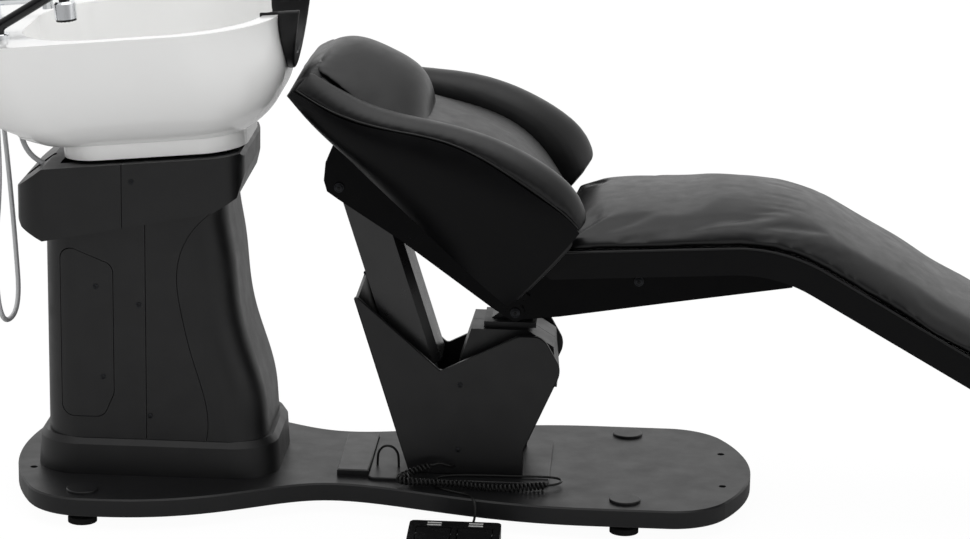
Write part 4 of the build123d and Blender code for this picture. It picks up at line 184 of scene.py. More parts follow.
def place_camera():
    back = Vector((math.sin(VIEW_TURN) * math.cos(VIEW_RISE), -math.cos(VIEW_TURN) * math.cos(VIEW_RISE),
                   math.sin(VIEW_RISE)))
    level = Vector((math.cos(VIEW_TURN), math.sin(VIEW_TURN), 0.0))
    lift = back.cross(level)
    right = level * math.cos(VIEW_ROLL) + lift * math.sin(VIEW_ROLL)
    up = lift * math.cos(VIEW_ROLL) - level * math.sin(VIEW_ROLL)
    across = (SEEN_PIXEL[0] - PICTURE_WIDTH / 2) / FOCAL_PIXELS * VIEW_DISTANCE
    down = (SEEN_PIXEL[1] - PICTURE_HEIGHT / 2) / FOCAL_PIXELS * VIEW_DISTANCE
    eye = SEEN_SPOT + back * VIEW_DISTANCE - right * across + up * down
    lens = bpy.data.cameras.new("photo_camera")
    lens.sensor_width = SENSOR
    lens.lens = FOCAL_PIXELS / PICTURE_WIDTH * SENSOR
    lens.clip_end = 100.0
    camera = bpy.data.objects.new("photo_camera", lens)
    scene.collection.objects.link(camera)
    camera.matrix_world = Matrix((
        (right.x, up.x, back.x, eye.x),
        (right.y, up.y, back.y, eye.y),
        (right.z, up.z, back.z, eye.z),
        (0.0, 0.0, 0.0, 1.0)))
    scene.camera = camera


# Materials

def hex_colour(code):
    """A linear colour from six hexadecimal digits of sRGB."""
    channels = [int(code[k:k + 2], 16) / 255 for k in (0, 2, 4)]
    return [c / 12.92 if c <= 0.04045 else ((c + 0.055) / 1.055) ** 2.4 for c in channels] + [1.0]


def add_node(tree, kind, settings, links=None):
    """A shader node with its settings, and a link into each named socket."""
    node = tree.nodes.new("ShaderNode" + kind)
    for name, value in settings.items():
        if isinstance(name, str) and hasattr(node, name):
            setattr(node, name, value)
        else:
            node.inputs[name].default_value = value
    for name, source in (links or {}).items():
        tree.links.new(source, node.inputs[name])
    return node


def start_material(name, colour, roughness, **sockets):
    material = bpy.data.materials.new(name)
    material.use_nodes = True
    shader = material.node_tree.nodes["Principled BSDF"]
    shader.inputs["Base Color"].default_value = hex_colour(colour)
    shader.inputs["Roughness"].default_value = roughness
    for socket, value in sockets.items():
        shader.inputs[socket.replace("_", " ")].default_value = value
    return material


def mottle(material, size, colour_a, colour_b, rough_a, rough_b):
    """Soft blotches of that size, in colour and in polish."""
    tree = material.node_tree
    shader = tree.nodes["Principled BSDF"]
    place = add_node(tree, "TexCoord", {})
    blotch = add_node(tree, "TexNoise", {"Scale": 1 / size, "Detail": 4.0, "Roughness": 0.6},
                      {"Vector": place.outputs["Object"]})
    tint = add_node(tree, "Mix", {"data_type": "RGBA"}, {"Factor": blotch.outputs["Fac"]})
    tint.inputs[6].default_value = hex_colour(colour_a)
    tint.inputs[7].default_value = hex_colour(colour_b)
    tree.links.new(tint.outputs[2], shader.inputs["Base Color"])
    polish = add_node(tree, "MapRange", {"From Min": 0.3, "From Max": 0.7, "To Min": rough_a, "To Max": rough_b},
                      {"Value": blotch.outputs["Fac"]})
    tree.links.new(polish.outputs["Result"], shader.inputs["Roughness"])


def raise_bump(material, height, depth, strength=1.0):
    """Adds a height to the bumps that the material has so far."""
    tree = material.node_tree
    shader = tree.nodes["Principled BSDF"]
    bump = add_node(tree, "Bump", {"Strength": strength, "Distance": depth}, {"Height": height})
    before = shader.inputs["Normal"].links
    if before:
        tree.links.new(before[0].from_socket, bump.inputs["Normal"])
    tree.links.new(bump.outputs["Normal"], shader.inputs["Normal"])


def grain(material, size, depth, strength=0.5):
    """Fine even grain of that size, as on coated steel or textured plastic."""
    tree = material.node_tree
    place = add_node(tree, "TexCoord", {})
    noise = add_node(tree, "TexNoise", {"Scale": 1 / size, "Detail": 2.0}, {"Vector": place.outputs["Object"]})
    raise_bump(material, noise.outputs["Fac"], depth, strength)


def pebble(material, size, depth, strength=0.5):
    """The small cells of leather grain, with creases between them."""
    tree = material.node_tree
    place = add_node(tree, "TexCoord", {})
    bend = add_node(tree, "TexNoise", {"Scale": 1 / (size * 3), "Detail": 2.0}, {"Vector": place.outputs["Object"]})
    shifted = add_node(tree, "VectorMath", {"operation": "MULTIPLY_ADD"},
                       {0: bend.outputs["Color"], 2: place.outputs["Object"]})
    shifted.inputs[1].default_value = (size, size, size)
    cells = add_node(tree, "TexVoronoi", {"feature": "DISTANCE_TO_EDGE", "Scale": 1 / size},
                     {"Vector": shifted.outputs["Vector"]})
    crease = add_node(tree, "MapRange", {"From Min": 0.0, "From Max": 0.25}, {"Value": cells.outputs["Distance"]})
    raise_bump(material, crease.outputs["Result"], depth, strength)


def shower_finish():
    """Black plastic, and chrome below and beyond the place where the hand shower's head begins."""
    material = start_material("shower_plastic_and_chrome", "101011", 0.25, Specular_IOR_Level=0.4)
    tree = material.node_tree
    shader = tree.nodes["Principled BSDF"]
    place = add_node(tree, "TexCoord", {})
    moved = add_node(tree, "VectorMath", {"operation": "SUBTRACT"}, {0: place.outputs["Object"]})
    moved.inputs[1].default_value = BOWL_SPOT
    along = add_node(tree, "VectorMath", {"operation": "DOT_PRODUCT"}, {0: moved.outputs["Vector"]})
    along.inputs[1].default_value = (math.cos(BOWL_TILT), 0.0, math.sin(BOWL_TILT))
    up = add_node(tree, "VectorMath", {"operation": "DOT_PRODUCT"}, {0: moved.outputs["Vector"]})
    up.inputs[1].default_value = (-math.sin(BOWL_TILT), 0.0, math.cos(BOWL_TILT))
    beyond = add_node(tree, "Math", {"operation": "GREATER_THAN", 1: SHOWER_HEAD_U}, {0: along.outputs["Value"]})
    below = add_node(tree, "Math", {"operation": "LESS_THAN", 1: SHOWER_HEAD_W}, {0: up.outputs["Value"]})
    head = add_node(tree, "Math", {"operation": "MULTIPLY"}, {0: beyond.outputs[0], 1: below.outputs[0]})
    tint = add_node(tree, "Mix", {"data_type": "RGBA"}, {"Factor": head.outputs[0]})
    tint.inputs[6].default_value = hex_colour("101011")
    tint.inputs[7].default_value = hex_colour("dfe1e4")
    tree.links.new(tint.outputs[2], shader.inputs["Base Color"])
    tree.links.new(head.outputs[0], shader.inputs["Metallic"])
    blotch = add_node(tree, "TexNoise", {"Scale": 40.0, "Detail": 3.0}, {"Vector": place.outputs["Object"]})
    smear = add_node(tree, "MapRange", {"To Min": 0.06, "To Max": 0.3}, {"Value": blotch.outputs["Fac"]})
    tree.links.new(smear.outputs["Result"], shader.inputs["Roughness"])
    return material


def make_materials():
    made = {}

    # Satin powder coat: the plate and the steel parts shine softly when seen along their surface
    coat = start_material("satin_powder_coat", "161617", 0.42, Specular_IOR_Level=0.35)
    mottle(coat, 60 * MM, "141415", "1a1a1b", 0.36, 0.46)
    grain(coat, 0.9 * MM, 0.05 * MM, 0.35)
    made["black_coat"] = coat
    made["plate_caps"] = coat

    # Moulded cover plastic: charcoal with a fine spark-eroded grain
    cover = start_material("moulded_cover_plastic", "0b0b0c", 0.4, Specular_IOR_Level=0.5)
    mottle(cover, 45 * MM, "0a0a0b", "0e0e0f", 0.36, 0.46)
    grain(cover, 0.6 * MM, 0.04 * MM, 0.4)
    made["cover_plastic"] = cover

    # Glossier paint of the lift arm, so that the bevel that faces the feet can shine pale
    gloss = start_material("gloss_arm_paint", "0e0e0f", 0.28, Specular_IOR_Level=0.7)
    mottle(gloss, 50 * MM, "0c0c0d", "111112", 0.24, 0.34)
    made["lift_arm"] = gloss

    # Smooth plastic of the footswitch and hand shower
    smooth = start_material("smooth_black_plastic", "101011", 0.25, Specular_IOR_Level=0.4)
    mottle(smooth, 30 * MM, "0e0e0f", "131314", 0.2, 0.3)
    made["black_plastic"] = smooth

    # Zinc-plated steel of pins, studs and screws
    steel = start_material("zinc_plated_steel", "b9bcc0", 0.34, Metallic=1.0)
    mottle(steel, 6 * MM, "a8abb0", "c6c9cc", 0.28, 0.42)
    made["steel"] = steel

    # Blackened steel of the bolts and cover screws
    dark = start_material("blackened_screw_steel", "2b2c2e", 0.4, Metallic=0.8)
    mottle(dark, 4 * MM, "242527", "333437", 0.34, 0.48)
    made["dark_steel"] = dark

    # Polished chrome of tap and drain
    chrome = start_material("polished_chrome", "dfe1e4", 0.07, Metallic=1.0)
    mottle(chrome, 20 * MM, "dcdee1", "e4e6e8", 0.05, 0.1)
    made["chrome"] = chrome

    # Hand shower: a black handle with a chromed head
    made["hand_shower"] = shower_finish()

    # White glaze over the basin's ceramic, a little wavy where it ran
    glaze = start_material("white_basin_glaze", "f2f2f1", 0.16, Coat_Weight=0.6, Coat_Roughness=0.06)
    mottle(glaze, 120 * MM, "f1f1f0", "f5f5f4", 0.13, 0.2)
    grain(glaze, 26 * MM, 0.25 * MM, 0.25)
    made["glaze"] = glaze

    # Matt rubber of the levelling feet
    rubber = start_material("matt_foot_rubber", "151515", 0.75, Specular_IOR_Level=0.3)
    mottle(rubber, 12 * MM, "131313", "1b1b1b", 0.68, 0.82)
    grain(rubber, 0.8 * MM, 0.06 * MM, 0.5)
    made["rubber"] = rubber

    # Black upholstery leather: close pebble grain under a soft sheen
    leather = start_material("black_upholstery_leather", "070708", 0.4, Specular_IOR_Level=0.42)
    mottle(leather, 35 * MM, "060607", "09090a", 0.34, 0.44)
    pebble(leather, 1.5 * MM, 0.08 * MM, 0.35)
    grain(leather, 14 * MM, 0.35 * MM, 0.25)
    made["black_leather"] = leather

    # Smooth vinyl-covered outer shell of the back
    shell = start_material("smooth_shell_covering", "040405", 0.36, Specular_IOR_Level=0.14)
    mottle(shell, 50 * MM, "030304", "060607", 0.32, 0.42)
    pebble(shell, 1.2 * MM, 0.04 * MM, 0.25)
    made["shell_plastic"] = shell
    made["seat_pan"] = shell

    # Gloss-painted steel of the two bed beams, its base colour darkened to near black as painted shade for the shade
    # beneath the pad
    paint = start_material("gloss_beam_paint_with_painted_shade", "030304", 0.3, Specular_IOR_Level=0.08)
    mottle(paint, 40 * MM, "020203", "050506", 0.26, 0.36)
    made["seat_beam"] = paint
    made["back_beam"] = paint

    # Soft moulded foam of the neck rest
    foam = start_material("moulded_neck_foam", "121213", 0.45, Specular_IOR_Level=0.35)
    mottle(foam, 20 * MM, "101011", "161617", 0.4, 0.52)
    grain(foam, 1.0 * MM, 0.05 * MM, 0.4)
    made["foam_rubber"] = foam

    # Chromed sleeve of the shower hose
    sleeve = start_material("chromed_hose_sleeve", "d2d3d5", 0.35, Metallic=0.45)
    mottle(sleeve, 4 * MM, "c6c7c9", "dedfe0", 0.28, 0.42)
    made["hose_metal"] = sleeve

    # Black sheath of the cords
    sheath = start_material("black_cord_sheath", "111111", 0.4, Specular_IOR_Level=0.35)
    mottle(sheath, 10 * MM, "0f0f0f", "151515", 0.34, 0.46)
    grain(sheath, 0.7 * MM, 0.03 * MM, 0.3)
    made["cord_black"] = sheath

    # Pale marking strips of the footswitch
    strip = start_material("pale_marking_strip", "c9c9c8", 0.5)
    mottle(strip, 5 * MM, "c2c2c1", "d0d0cf", 0.42, 0.56)
    made["strip_pale"] = strip

    # Black-stained plywood board inside the back
    board = start_material("black_stained_board", "15130f", 0.6)
    mottle(board, 30 * MM, "110f0c", "1a1713", 0.52, 0.68)
    grain(board, 2.0 * MM, 0.1 * MM, 0.5)
    made["board"] = board

    # Pale grey drain plastic
    pipe = start_material("grey_drain_plastic", "b4b5b7", 0.45)
    mottle(pipe, 20 * MM, "acadaf", "bcbdbf", 0.4, 0.52)
    grain(pipe, 1.2 * MM, 0.04 * MM, 0.3)
    made["drain_plastic"] = pipe
    return made


place_camera()
MATERIALS = make_materials()


def dress(piece, slot_name, body):
    """Gives a finished piece the material of a slot and the body that it moves with."""
    piece.data.materials.clear()
    piece.data.materials.append(MATERIALS[slot_name])
    if piece.type == "MESH":
        piece.data.polygons.foreach_set("use_smooth", [True] * len(piece.data.polygons))
    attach(piece, body)
    return piece


def dress_cad_nodes():
    """Gives each solid the finish of its slot, or its own where it has one."""
    for part in frame["record"]["subparts"]:
        node = frame["nodes"][part["node"]]
        node.data.materials.clear()
        finish = part["node"] if part["node"] in MATERIALS else part["material_slot"]
        node.data.materials.append(MATERIALS[finish])


# Cords

def in_metres(route):
    return [Vector(point) * MM for point in route]


def soft_line(name, points, radius=0.0):
    """A smooth open line that bends towards the points, as a round cord where it has a radius."""
    curve = bpy.data.curves.new(name, "CURVE")
    curve.dimensions = "3D"
    curve.bevel_depth = radius
    curve.bevel_resolution = 3
    curve.resolution_u = 4
    curve.use_fill_caps = True
    spline = curve.splines.new("NURBS")
    spline.points.add(len(points) - 1)
    for k, point in enumerate(points):
        spline.points[k].co = (*point, 1.0)
    spline.order_u = 3
    spline.use_endpoint_u = True
    piece = bpy.data.objects.new(name, curve)
    scene.collection.objects.link(piece)
    return piece


def line_points(route):
    """The points of the smooth line that bends towards a route."""
    line = soft_line("measured_line", in_metres(route))
    line.data.resolution_u = 12
    mesh = bpy.data.meshes.new_from_object(line)
    points = np.array([vertex.co for vertex in mesh.vertices])
    bpy.data.objects.remove(line)
    bpy.data.meshes.remove(mesh)
    return points


def run_lengths(points):
    return np.concatenate([[0.0], np.cumsum(np.linalg.norm(np.diff(points, axis=0), axis=1))])


def even_points(points, count):
    """That many points, evenly spaced along the line."""
    runs = run_lengths(points)
    wanted = np.linspace(0.0, runs[-1], count)
    return np.stack([np.interp(wanted, runs, points[:, k]) for k in range(3)], axis=1)


def line_frames(points):
    """Along, side and up at each point, turned as little as possible from one to the next."""
    along = np.gradient(points, axis=0)
    along /= np.linalg.norm(along, axis=1)[:, None]
    side = np.cross(along[0], (0.0, 0.0, 1.0))
    if np.linalg.norm(side) < 0.1:
        side = np.cross(along[0], (0.0, 1.0, 0.0))
    sides = []
    for direction in along:
        side = side - direction * side.dot(direction)
        side = side / np.linalg.norm(side)
        sides.append(side)
    sides = np.array(sides)
    return along, sides, np.cross(along, sides)


def ringed_tube(name, points, radii, sides):
    """A closed tube through the points, with a radius for each."""
    _, side, up = line_frames(points)
    angles = np.linspace(0.0, 2 * math.pi, sides, endpoint=False)
    rings = (points[:, None, :] + radii[:, None, None] * (np.cos(angles)[None, :, None] * side[:, None, :]
             + np.sin(angles)[None, :, None] * up[:, None, :]))
    vertices = rings.reshape(-1, 3).tolist()
    faces = []
    for ring in range(len(points) - 1):
        a = ring * sides
        b = a + sides
        faces += [(a + k, a + (k + 1) % sides, b + (k + 1) % sides, b + k) for k in range(sides)]
    faces.append(tuple(reversed(range(sides))))
    faces.append(tuple(range((len(points) - 1) * sides, len(points) * sides)))
    return new_piece(name, vertices, faces)


def new_piece(name, vertices, faces):
    mesh = bpy.data.meshes.new(name)
    mesh.from_pydata(vertices, [], faces)
    work = bmesh.new()
    work.from_mesh(mesh)
    bmesh.ops.recalc_face_normals(work, faces=work.faces)
    work.to_mesh(mesh)
    work.free()
    piece = bpy.data.objects.new(name, mesh)
    scene.collection.objects.link(piece)
    return piece


def make_shower_hose():
    """The chromed sleeve, with a rib for each turn of its wound strip."""
    line = line_points(HOSE_ROUTE)
    length = run_lengths(line)[-1]
    ribs = int(length / HOSE_RIB)
    points = even_points(line, ribs * 4 + 1)
    wave = 0.5 - 0.5 * np.cos(np.arange(len(points)) * math.pi / 2)
    hose = ringed_tube("shower_hose_sleeve", points, HOSE_RADIUS - HOSE_RIB_DEPTH * wave, HOSE_SIDES)
    dress(hose, "hose_metal", "bowl")
    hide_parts("shower_hose")


def make_supply_pipe():
    pipe = soft_line("supply_pipe_sheath", in_metres(SUPPLY_ROUTE), SUPPLY_RADIUS)
    dress(pipe, "drain_plastic", "bowl")
    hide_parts("supply_pipe")


def curl_points():
    """The curls of the cord, round the line that its coil lies along."""
    line = line_points(COIL_ROUTE)
    length = run_lengths(line)[-1]
    curls = int((length - CORD_RADIUS * 4) / COIL_PITCH)
    points = even_points(line, curls * CURL_POINTS + 1)
    along = np.gradient(points, axis=0)
    along /= np.linalg.norm(along, axis=1)[:, None]
    side = np.stack([-along[:, 1], along[:, 0], np.zeros(len(points))], axis=1)
    side /= np.linalg.norm(side, axis=1)[:, None]
    up = np.cross(along, side)
    steps = np.arange(len(points))
    ends = np.minimum(steps, len(points) - 1 - steps) / CURL_POINTS
    grown = np.clip(ends, 0.0, 1.0)
    reach = (COIL_OUTER - CORD_RADIUS) * grown * grown * (3 - 2 * grown)
    turn = steps * 2 * math.pi / CURL_POINTS
    curled = points + side * (reach * np.cos(turn))[:, None] + up * (reach * np.sin(turn))[:, None]
    return [Vector(point) for point in curled]


def make_footswitch_cord():
    """One cord: out of the housing, curled along the flange, and on to the footswitch."""
    points = in_metres(LEAD_ROUTE)[:-1] + curl_points() + in_metres(PEDAL_LEAD_ROUTE)[1:]
    cord = soft_line("footswitch_cord", points, CORD_RADIUS)
    dress(cord, "cord_black", "base")
    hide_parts("control_leads", "cord_coil", "pedal_lead")


def make_spare_loop():
    loop = soft_line("spare_cord_loop", in_metres(SPARE_LOOP_ROUTE), CORD_RADIUS)
    dress(loop, "cord_black", "base")
    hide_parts("control_leads")


# Upholstery

def cad_copy(node, name):
    """A merged copy of a CAD node's mesh, free to be worked on."""
    mesh = frame["nodes"][node].data.copy()
    piece = bpy.data.objects.new(name, mesh)
    scene.collection.objects.link(piece)
    work = bmesh.new()
    work.from_mesh(mesh)
    bmesh.ops.remove_doubles(work, verts=work.verts, dist=0.01 * MM)
    work.to_mesh(mesh)
    work.free()
    return piece


def apply_modifiers(piece):
    """Makes the evaluated shape the piece's own mesh, with no modifier left."""
    bpy.context.view_layer.update()
    graph = bpy.context.evaluated_depsgraph_get()
    mesh = bpy.data.meshes.new_from_object(piece.evaluated_get(graph))
    piece.modifiers.clear()
    old = piece.data
    piece.data = mesh
    mesh.name = piece.name
    bpy.data.meshes.remove(old)


def mesh_points(piece):
    count = len(piece.data.vertices)
    points = np.zeros(count * 3)
    piece.data.vertices.foreach_get("co", points)
    return points.reshape(-1, 3)


def mesh_normals(piece):
    count = len(piece.data.vertices)
    normals = np.zeros(count * 3)
    piece.data.vertices.foreach_get("normal", normals)
    return normals.reshape(-1, 3)


def set_points(piece, points):
    piece.data.vertices.foreach_set("co", points.ravel())
    piece.data.update()


def remesh(piece, voxel):
    even = piece.modifiers.new("even", "REMESH")
    even.mode = "VOXEL"
    even.voxel_size = voxel
    apply_modifiers(piece)


def smooth(piece, rounds):
    soft = piece.modifiers.new("soft", "SMOOTH")
    soft.iterations = rounds
    soft.factor = 0.5
    apply_modifiers(piece)


def fill_cover(piece, free, cap):
    """Fills a closed cover with air for a while, each free point moving by the cap at most."""
    before = mesh_points(piece)
    held = piece.vertex_groups.new(name="held")
    held.add([int(k) for k in np.nonzero(free < 0.5)[0]], 1.0, "REPLACE")
    cloth = piece.modifiers.new("fill", "CLOTH")
    cloth.settings.quality = 5
    cloth.settings.mass = 0.3
    cloth.settings.tension_stiffness = 15
    cloth.settings.bending_stiffness = 0.5
    cloth.settings.use_pressure = True
    cloth.settings.uniform_pressure_force = COVER_PRESSURE
    cloth.settings.effector_weights.gravity = 0.0
    cloth.settings.vertex_group_mass = "held"
    cloth.point_cache.frame_start = 1
    cloth.point_cache.frame_end = COVER_FRAMES
    for step in range(1, COVER_FRAMES + 1):
        scene.frame_set(step)
    apply_modifiers(piece)
    scene.frame_set(1)
    move = mesh_points(piece) - before
    size = np.linalg.norm(move, axis=1)
    share = np.minimum(1.0, cap / np.maximum(size, cap * 0.001))
    set_points(piece, before + move * share[:, None])
    piece.vertex_groups.clear()


def line_distance(points, line):
    """How far each point is from a line, and how far along the line its nearest place is."""
    best = np.full(len(points), 1e9)
    along = np.zeros(len(points))
    runs = run_lengths(line)
    for k in range(len(line) - 1):
        a = line[k]
        step = line[k + 1] - a
        share = np.clip((points - a) @ step / step.dot(step), 0.0, 1.0)
        gap = np.linalg.norm(points - (a + share[:, None] * step), axis=1)
        nearer = gap < best
        best[nearer] = gap[nearer]
        along[nearer] = runs[k] + share[nearer] * (runs[k + 1] - runs[k])
    return best, along


def press_seam(piece, line, depth, width, pucker=0.0, pitch=0.018):
    """Draws a cover in along a seam, with small puckers that fade beside it."""
    points = mesh_points(piece)
    normals = mesh_normals(piece)
    gap, along = line_distance(points, line)
    fall = np.exp(-(gap / width) ** 2)
    ripple = np.sin(along * 2 * math.pi / pitch + 1.7 * np.sin(along * 31.0))
    beside = np.exp(-((gap - width * 1.3) / width) ** 2)
    shift = -depth * fall + pucker * ripple * beside
    set_points(piece, points + normals * shift[:, None])


def draw_in(piece, depth):
    set_points(piece, mesh_points(piece) - mesh_normals(piece) * depth)


def fill_out(piece, rounds, up, facing, cap):
    """Softens a cover, draws it in, and fills its faces that look up by more than the given share."""
    smooth(piece, rounds)
    draw_in(piece, COVER_DRAW)
    free = (mesh_normals(piece) @ up > facing).astype(float)
    fill_cover(piece, free, cap)
    smooth(piece, 2)


def back_spot(along, across, rise):
    """A place on the back: along it from the pivot, across the bed, and up from its line."""
    x = PIVOT.x - along * math.cos(BACK_ANGLE) + rise * math.sin(BACK_ANGLE)
    z = PIVOT.z + along * math.sin(BACK_ANGLE) + rise * math.cos(BACK_ANGLE)
    return np.array((x, across, z))


BACK_UP = np.array((math.sin(BACK_ANGLE), 0.0, math.cos(BACK_ANGLE)))
BACK_ALONG = np.array((-math.cos(BACK_ANGLE), 0.0, math.sin(BACK_ANGLE)))
WORLD_UP = np.array((0.0, 0.0, 1.0))


def through_points(points, count):
    """That many points on a smooth line that passes through the given ones."""
    points = np.array(points)
    ends = np.concatenate([[2 * points[0] - points[1]], points, [2 * points[-1] - points[-2]]])
    made = []
    for k in range(len(points) - 1):
        p0, p1, p2, p3 = ends[k:k + 4]
        for t in np.linspace(0.0, 1.0, 12, endpoint=False):
            made.append(0.5 * (2 * p1 + (p2 - p0) * t + (2 * p0 - 5 * p1 + 4 * p2 - p3) * t * t
                               + (3 * p1 - p0 - 3 * p2 + p3) * t ** 3))
    made.append(points[-1])
    return even_points(np.array(made), count)


def rim_line(side):
    spots = [back_spot(s * BACK_LENGTH, side * h * BACK_HALF, r * BACK_HEIGHT)
             for s, h, r in zip(STATIONS, HALF_SHARES, RIM_SHARES)]
    return through_points(spots, 90)


def valley_line(side):
    spots = [back_spot(s * BACK_LENGTH, side * h * BACK_HALF, r * BACK_HEIGHT)
             for s, h, r in zip(STATIONS, INNER_SHARES, TOP_SHARES)]
    return through_points(spots, 90)


def laid_on(pieces, line, lift):
    """The line, moved onto the nearest surface of the pieces and raised off it."""
    laid = []
    trees = []
    for piece in pieces:
        work = bmesh.new()
        work.from_mesh(piece.data)
        trees.append(BVHTree.FromBMesh(work))
        work.free()
    for point in line:
        found = [tree.find_nearest(Vector(point)) for tree in trees]
        spot, normal, _, _ = min(found, key=lambda hit: hit[3])
        laid.append(np.array(spot + normal * lift))
    laid = np.array(laid)
    for _ in range(3):
        laid[1:-1] = (laid[:-2] + 2 * laid[1:-1] + laid[2:]) / 4
    return laid


def leather_roll(name, line, radii, sides):
    return dress(ringed_tube(name, line, radii, sides), "black_leather", "chair")


def welt(name, line):
    return leather_roll(name, line, np.full(len(line), WELT_RADIUS), WELT_SIDES)


def repeat_group(name, shape_kind, facets):
    """A node group that sets a small solid at each point of a mesh, and the keys of its named inputs.

    The point's "turn" attribute says how its solid is turned."""
    group = bpy.data.node_groups.new(name, "GeometryNodeTree")
    nodes, links = group.nodes, group.links
    group.interface.new_socket("Geometry", in_out="INPUT", socket_type="NodeSocketGeometry")
    group.interface.new_socket("Geometry", in_out="OUTPUT", socket_type="NodeSocketGeometry")
    keys = {}
    for size, kind in REPEAT_INPUTS.items():
        keys[size] = group.interface.new_socket(size, in_out="INPUT", socket_type=kind).identifier
    inside = nodes.new("NodeGroupInput")
    outside = nodes.new("NodeGroupOutput")
    shape = nodes.new(shape_kind)
    for socket, count in facets.items():
        shape.inputs[socket].default_value = count
    turn = nodes.new("GeometryNodeInputNamedAttribute")
    turn.data_type = "FLOAT_VECTOR"
    turn.inputs["Name"].default_value = "turn"
    copies = nodes.new("GeometryNodeInstanceOnPoints")
    real = nodes.new("GeometryNodeRealizeInstances")
    paint = nodes.new("GeometryNodeSetMaterial")
    links.new(inside.outputs["Radius"], shape.inputs["Radius"])
    if "Depth" in shape.inputs:
        links.new(inside.outputs["Depth"], shape.inputs["Depth"])
    links.new(inside.outputs["Geometry"], copies.inputs["Points"])
    links.new(shape.outputs["Mesh"], copies.inputs["Instance"])
    links.new(turn.outputs["Attribute"], copies.inputs["Rotation"])
    links.new(inside.outputs["Scale"], copies.inputs["Scale"])
    links.new(copies.outputs["Instances"], real.inputs["Geometry"])
    links.new(real.outputs["Geometry"], paint.inputs["Geometry"])
    links.new(inside.outputs["Finish"], paint.inputs["Material"])
    links.new(paint.outputs["Geometry"], outside.inputs["Geometry"])
    return group, keys


def set_repeats(name, spots, turns, shape_kind, facets, slot_name, body, radius, depth=0.0, scale=(1.0, 1.0, 1.0)):
    """One piece made of a small solid repeated at the given spots and turns."""
    piece = new_piece(name, np.array(spots), [])
    turn = piece.data.attributes.new("turn", "FLOAT_VECTOR", "POINT")
    turn.data.foreach_set("vector", np.array(turns, dtype=float).ravel())
    group, keys = repeat_group(name, shape_kind, facets)
    repeats = piece.modifiers.new("repeats", "NODES")
    repeats.node_group = group
    for size, value in (("Radius", radius), ("Depth", depth), ("Scale", scale), ("Finish", MATERIALS[slot_name])):
        repeats[keys[size]] = value
    apply_modifiers(piece)
    return dress(piece, slot_name, body)


def stitches(name, line, slot_name, body):
    """Short threads laid end to end along a line, with small gaps between them."""
    count = max(2, int(run_lengths(line)[-1] / STITCH_PITCH))
    spots = even_points(line, count)
    aims = np.gradient(spots, axis=0)
    turns = [Vector(aim).to_track_quat("Z", "Y").to_euler()[:] for aim in aims]
    return set_repeats(name, spots, turns, "GeometryNodeMeshCylinder", {"Vertices": 6}, slot_name, body,
                       STITCH_RADIUS, STITCH_LENGTH)


def make_screw_heads(name, places, radius, lift, body):
    """A domed head over each screw, on both sides of the bed, with a dark matt hexagon on its face as painted shade
    where its socket is.
    """
    spots = [(x * MM, side * (abs(y) + lift) * MM, z * MM) for x, y, z in places for side in (-1, 1)]
    faces = [(x, y + math.copysign(radius * HEAD_FLAT * MM, y), z) for x, y, z in spots]
    turns = [(math.pi / 2, 0.0, 0.0)] * len(spots)
    set_repeats(name + "_heads", spots, turns, "GeometryNodeMeshUVSphere", {"Segments": 20, "Rings": 12},
                "dark_steel", body, radius * MM, scale=(1.0, 1.0, HEAD_FLAT))
    # No socket is cut: a dark matt hexagon of foot rubber on each head is painted shade for the recess
    set_repeats(name + "_socket_shade", faces, turns, "GeometryNodeMeshCylinder", {"Vertices": 6},
                "rubber", body, radius * SOCKET_SHARE * MM, SOCKET_DEPTH)


def finish_cover(piece, node, body):
    divide = piece.modifiers.new("finer", "SUBSURF")
    divide.levels = 1
    divide.render_levels = 1
    apply_modifiers(piece)
    dress(piece, "black_leather", body)
    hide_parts(node)
    return piece


def make_back_cushion():
    piece = cad_copy("back_cushion", "back_cushion_cover")
    remesh(piece, COVER_VOXEL)
    fill_out(piece, 4, BACK_UP, 0.2, 9 * MM)
    for side in (-1, 1):
        press_seam(piece, valley_line(side), 5 * MM, 14 * MM, 0.5 * MM)
    return finish_cover(piece, "back_cushion", "chair")


def make_bolster(side, node):
    piece = cad_copy(node, node + "_cover")
    remesh(piece, COVER_VOXEL)
    fill_out(piece, 4, BACK_UP, -0.1, 7 * MM)
    press_seam(piece, rim_line(side), 2.5 * MM, 9 * MM, 0.4 * MM)
    return finish_cover(piece, node, "chair")


def dome_pillow(piece):
    """Rounds the pillow's top over from seam to seam, and spreads it to meet the wings."""
    points = mesh_points(piece)
    from_pivot = points - np.array(PIVOT)
    along = from_pivot @ BACK_ALONG / BACK_LENGTH
    rise = from_pivot @ BACK_UP
    seam = np.interp(along, [s for s, _, _ in PILLOW_SEAM], [n for _, _, n in PILLOW_SEAM]) * BACK_HEIGHT
    points[:, 1] *= PILLOW_SPREAD
    share = np.clip(1 - (points[:, 1] / PILLOW_HALF) ** 2, 0.0, 1.0) ** 0.55 * PILLOW_DOME
    over = np.clip(rise - seam, 0.0, None)
    set_points(piece, points + (over * (share - 1))[:, None] * BACK_UP)


def make_pillow():
    piece = cad_copy("head_pillow", "head_pillow_cover")
    remesh(piece, COVER_VOXEL)
    dome_pillow(piece)
    fill_out(piece, 5, BACK_UP, -0.3, 8 * MM)
    return finish_cover(piece, "head_pillow", "chair")


def make_head_end():
    """The padded roll that closes the head end of the back, from wing to wing."""
    spots = []
    for share, half in HEAD_END_HALVES:
        for s, n in HEAD_END_SECTION:
            spots += [back_spot(s * BACK_LENGTH, side * half, n * BACK_HEIGHT * share) for side in (-1, 1)]
    piece = new_piece("head_end_cover", np.array(spots), [])
    work = bmesh.new()
    work.from_mesh(piece.data)
    bmesh.ops.convex_hull(work, input=work.verts)
    work.to_mesh(piece.data)
    work.free()
    remesh(piece, FOAM_VOXEL)
    smooth(piece, 10)
    return dress(piece, "black_leather", "chair")


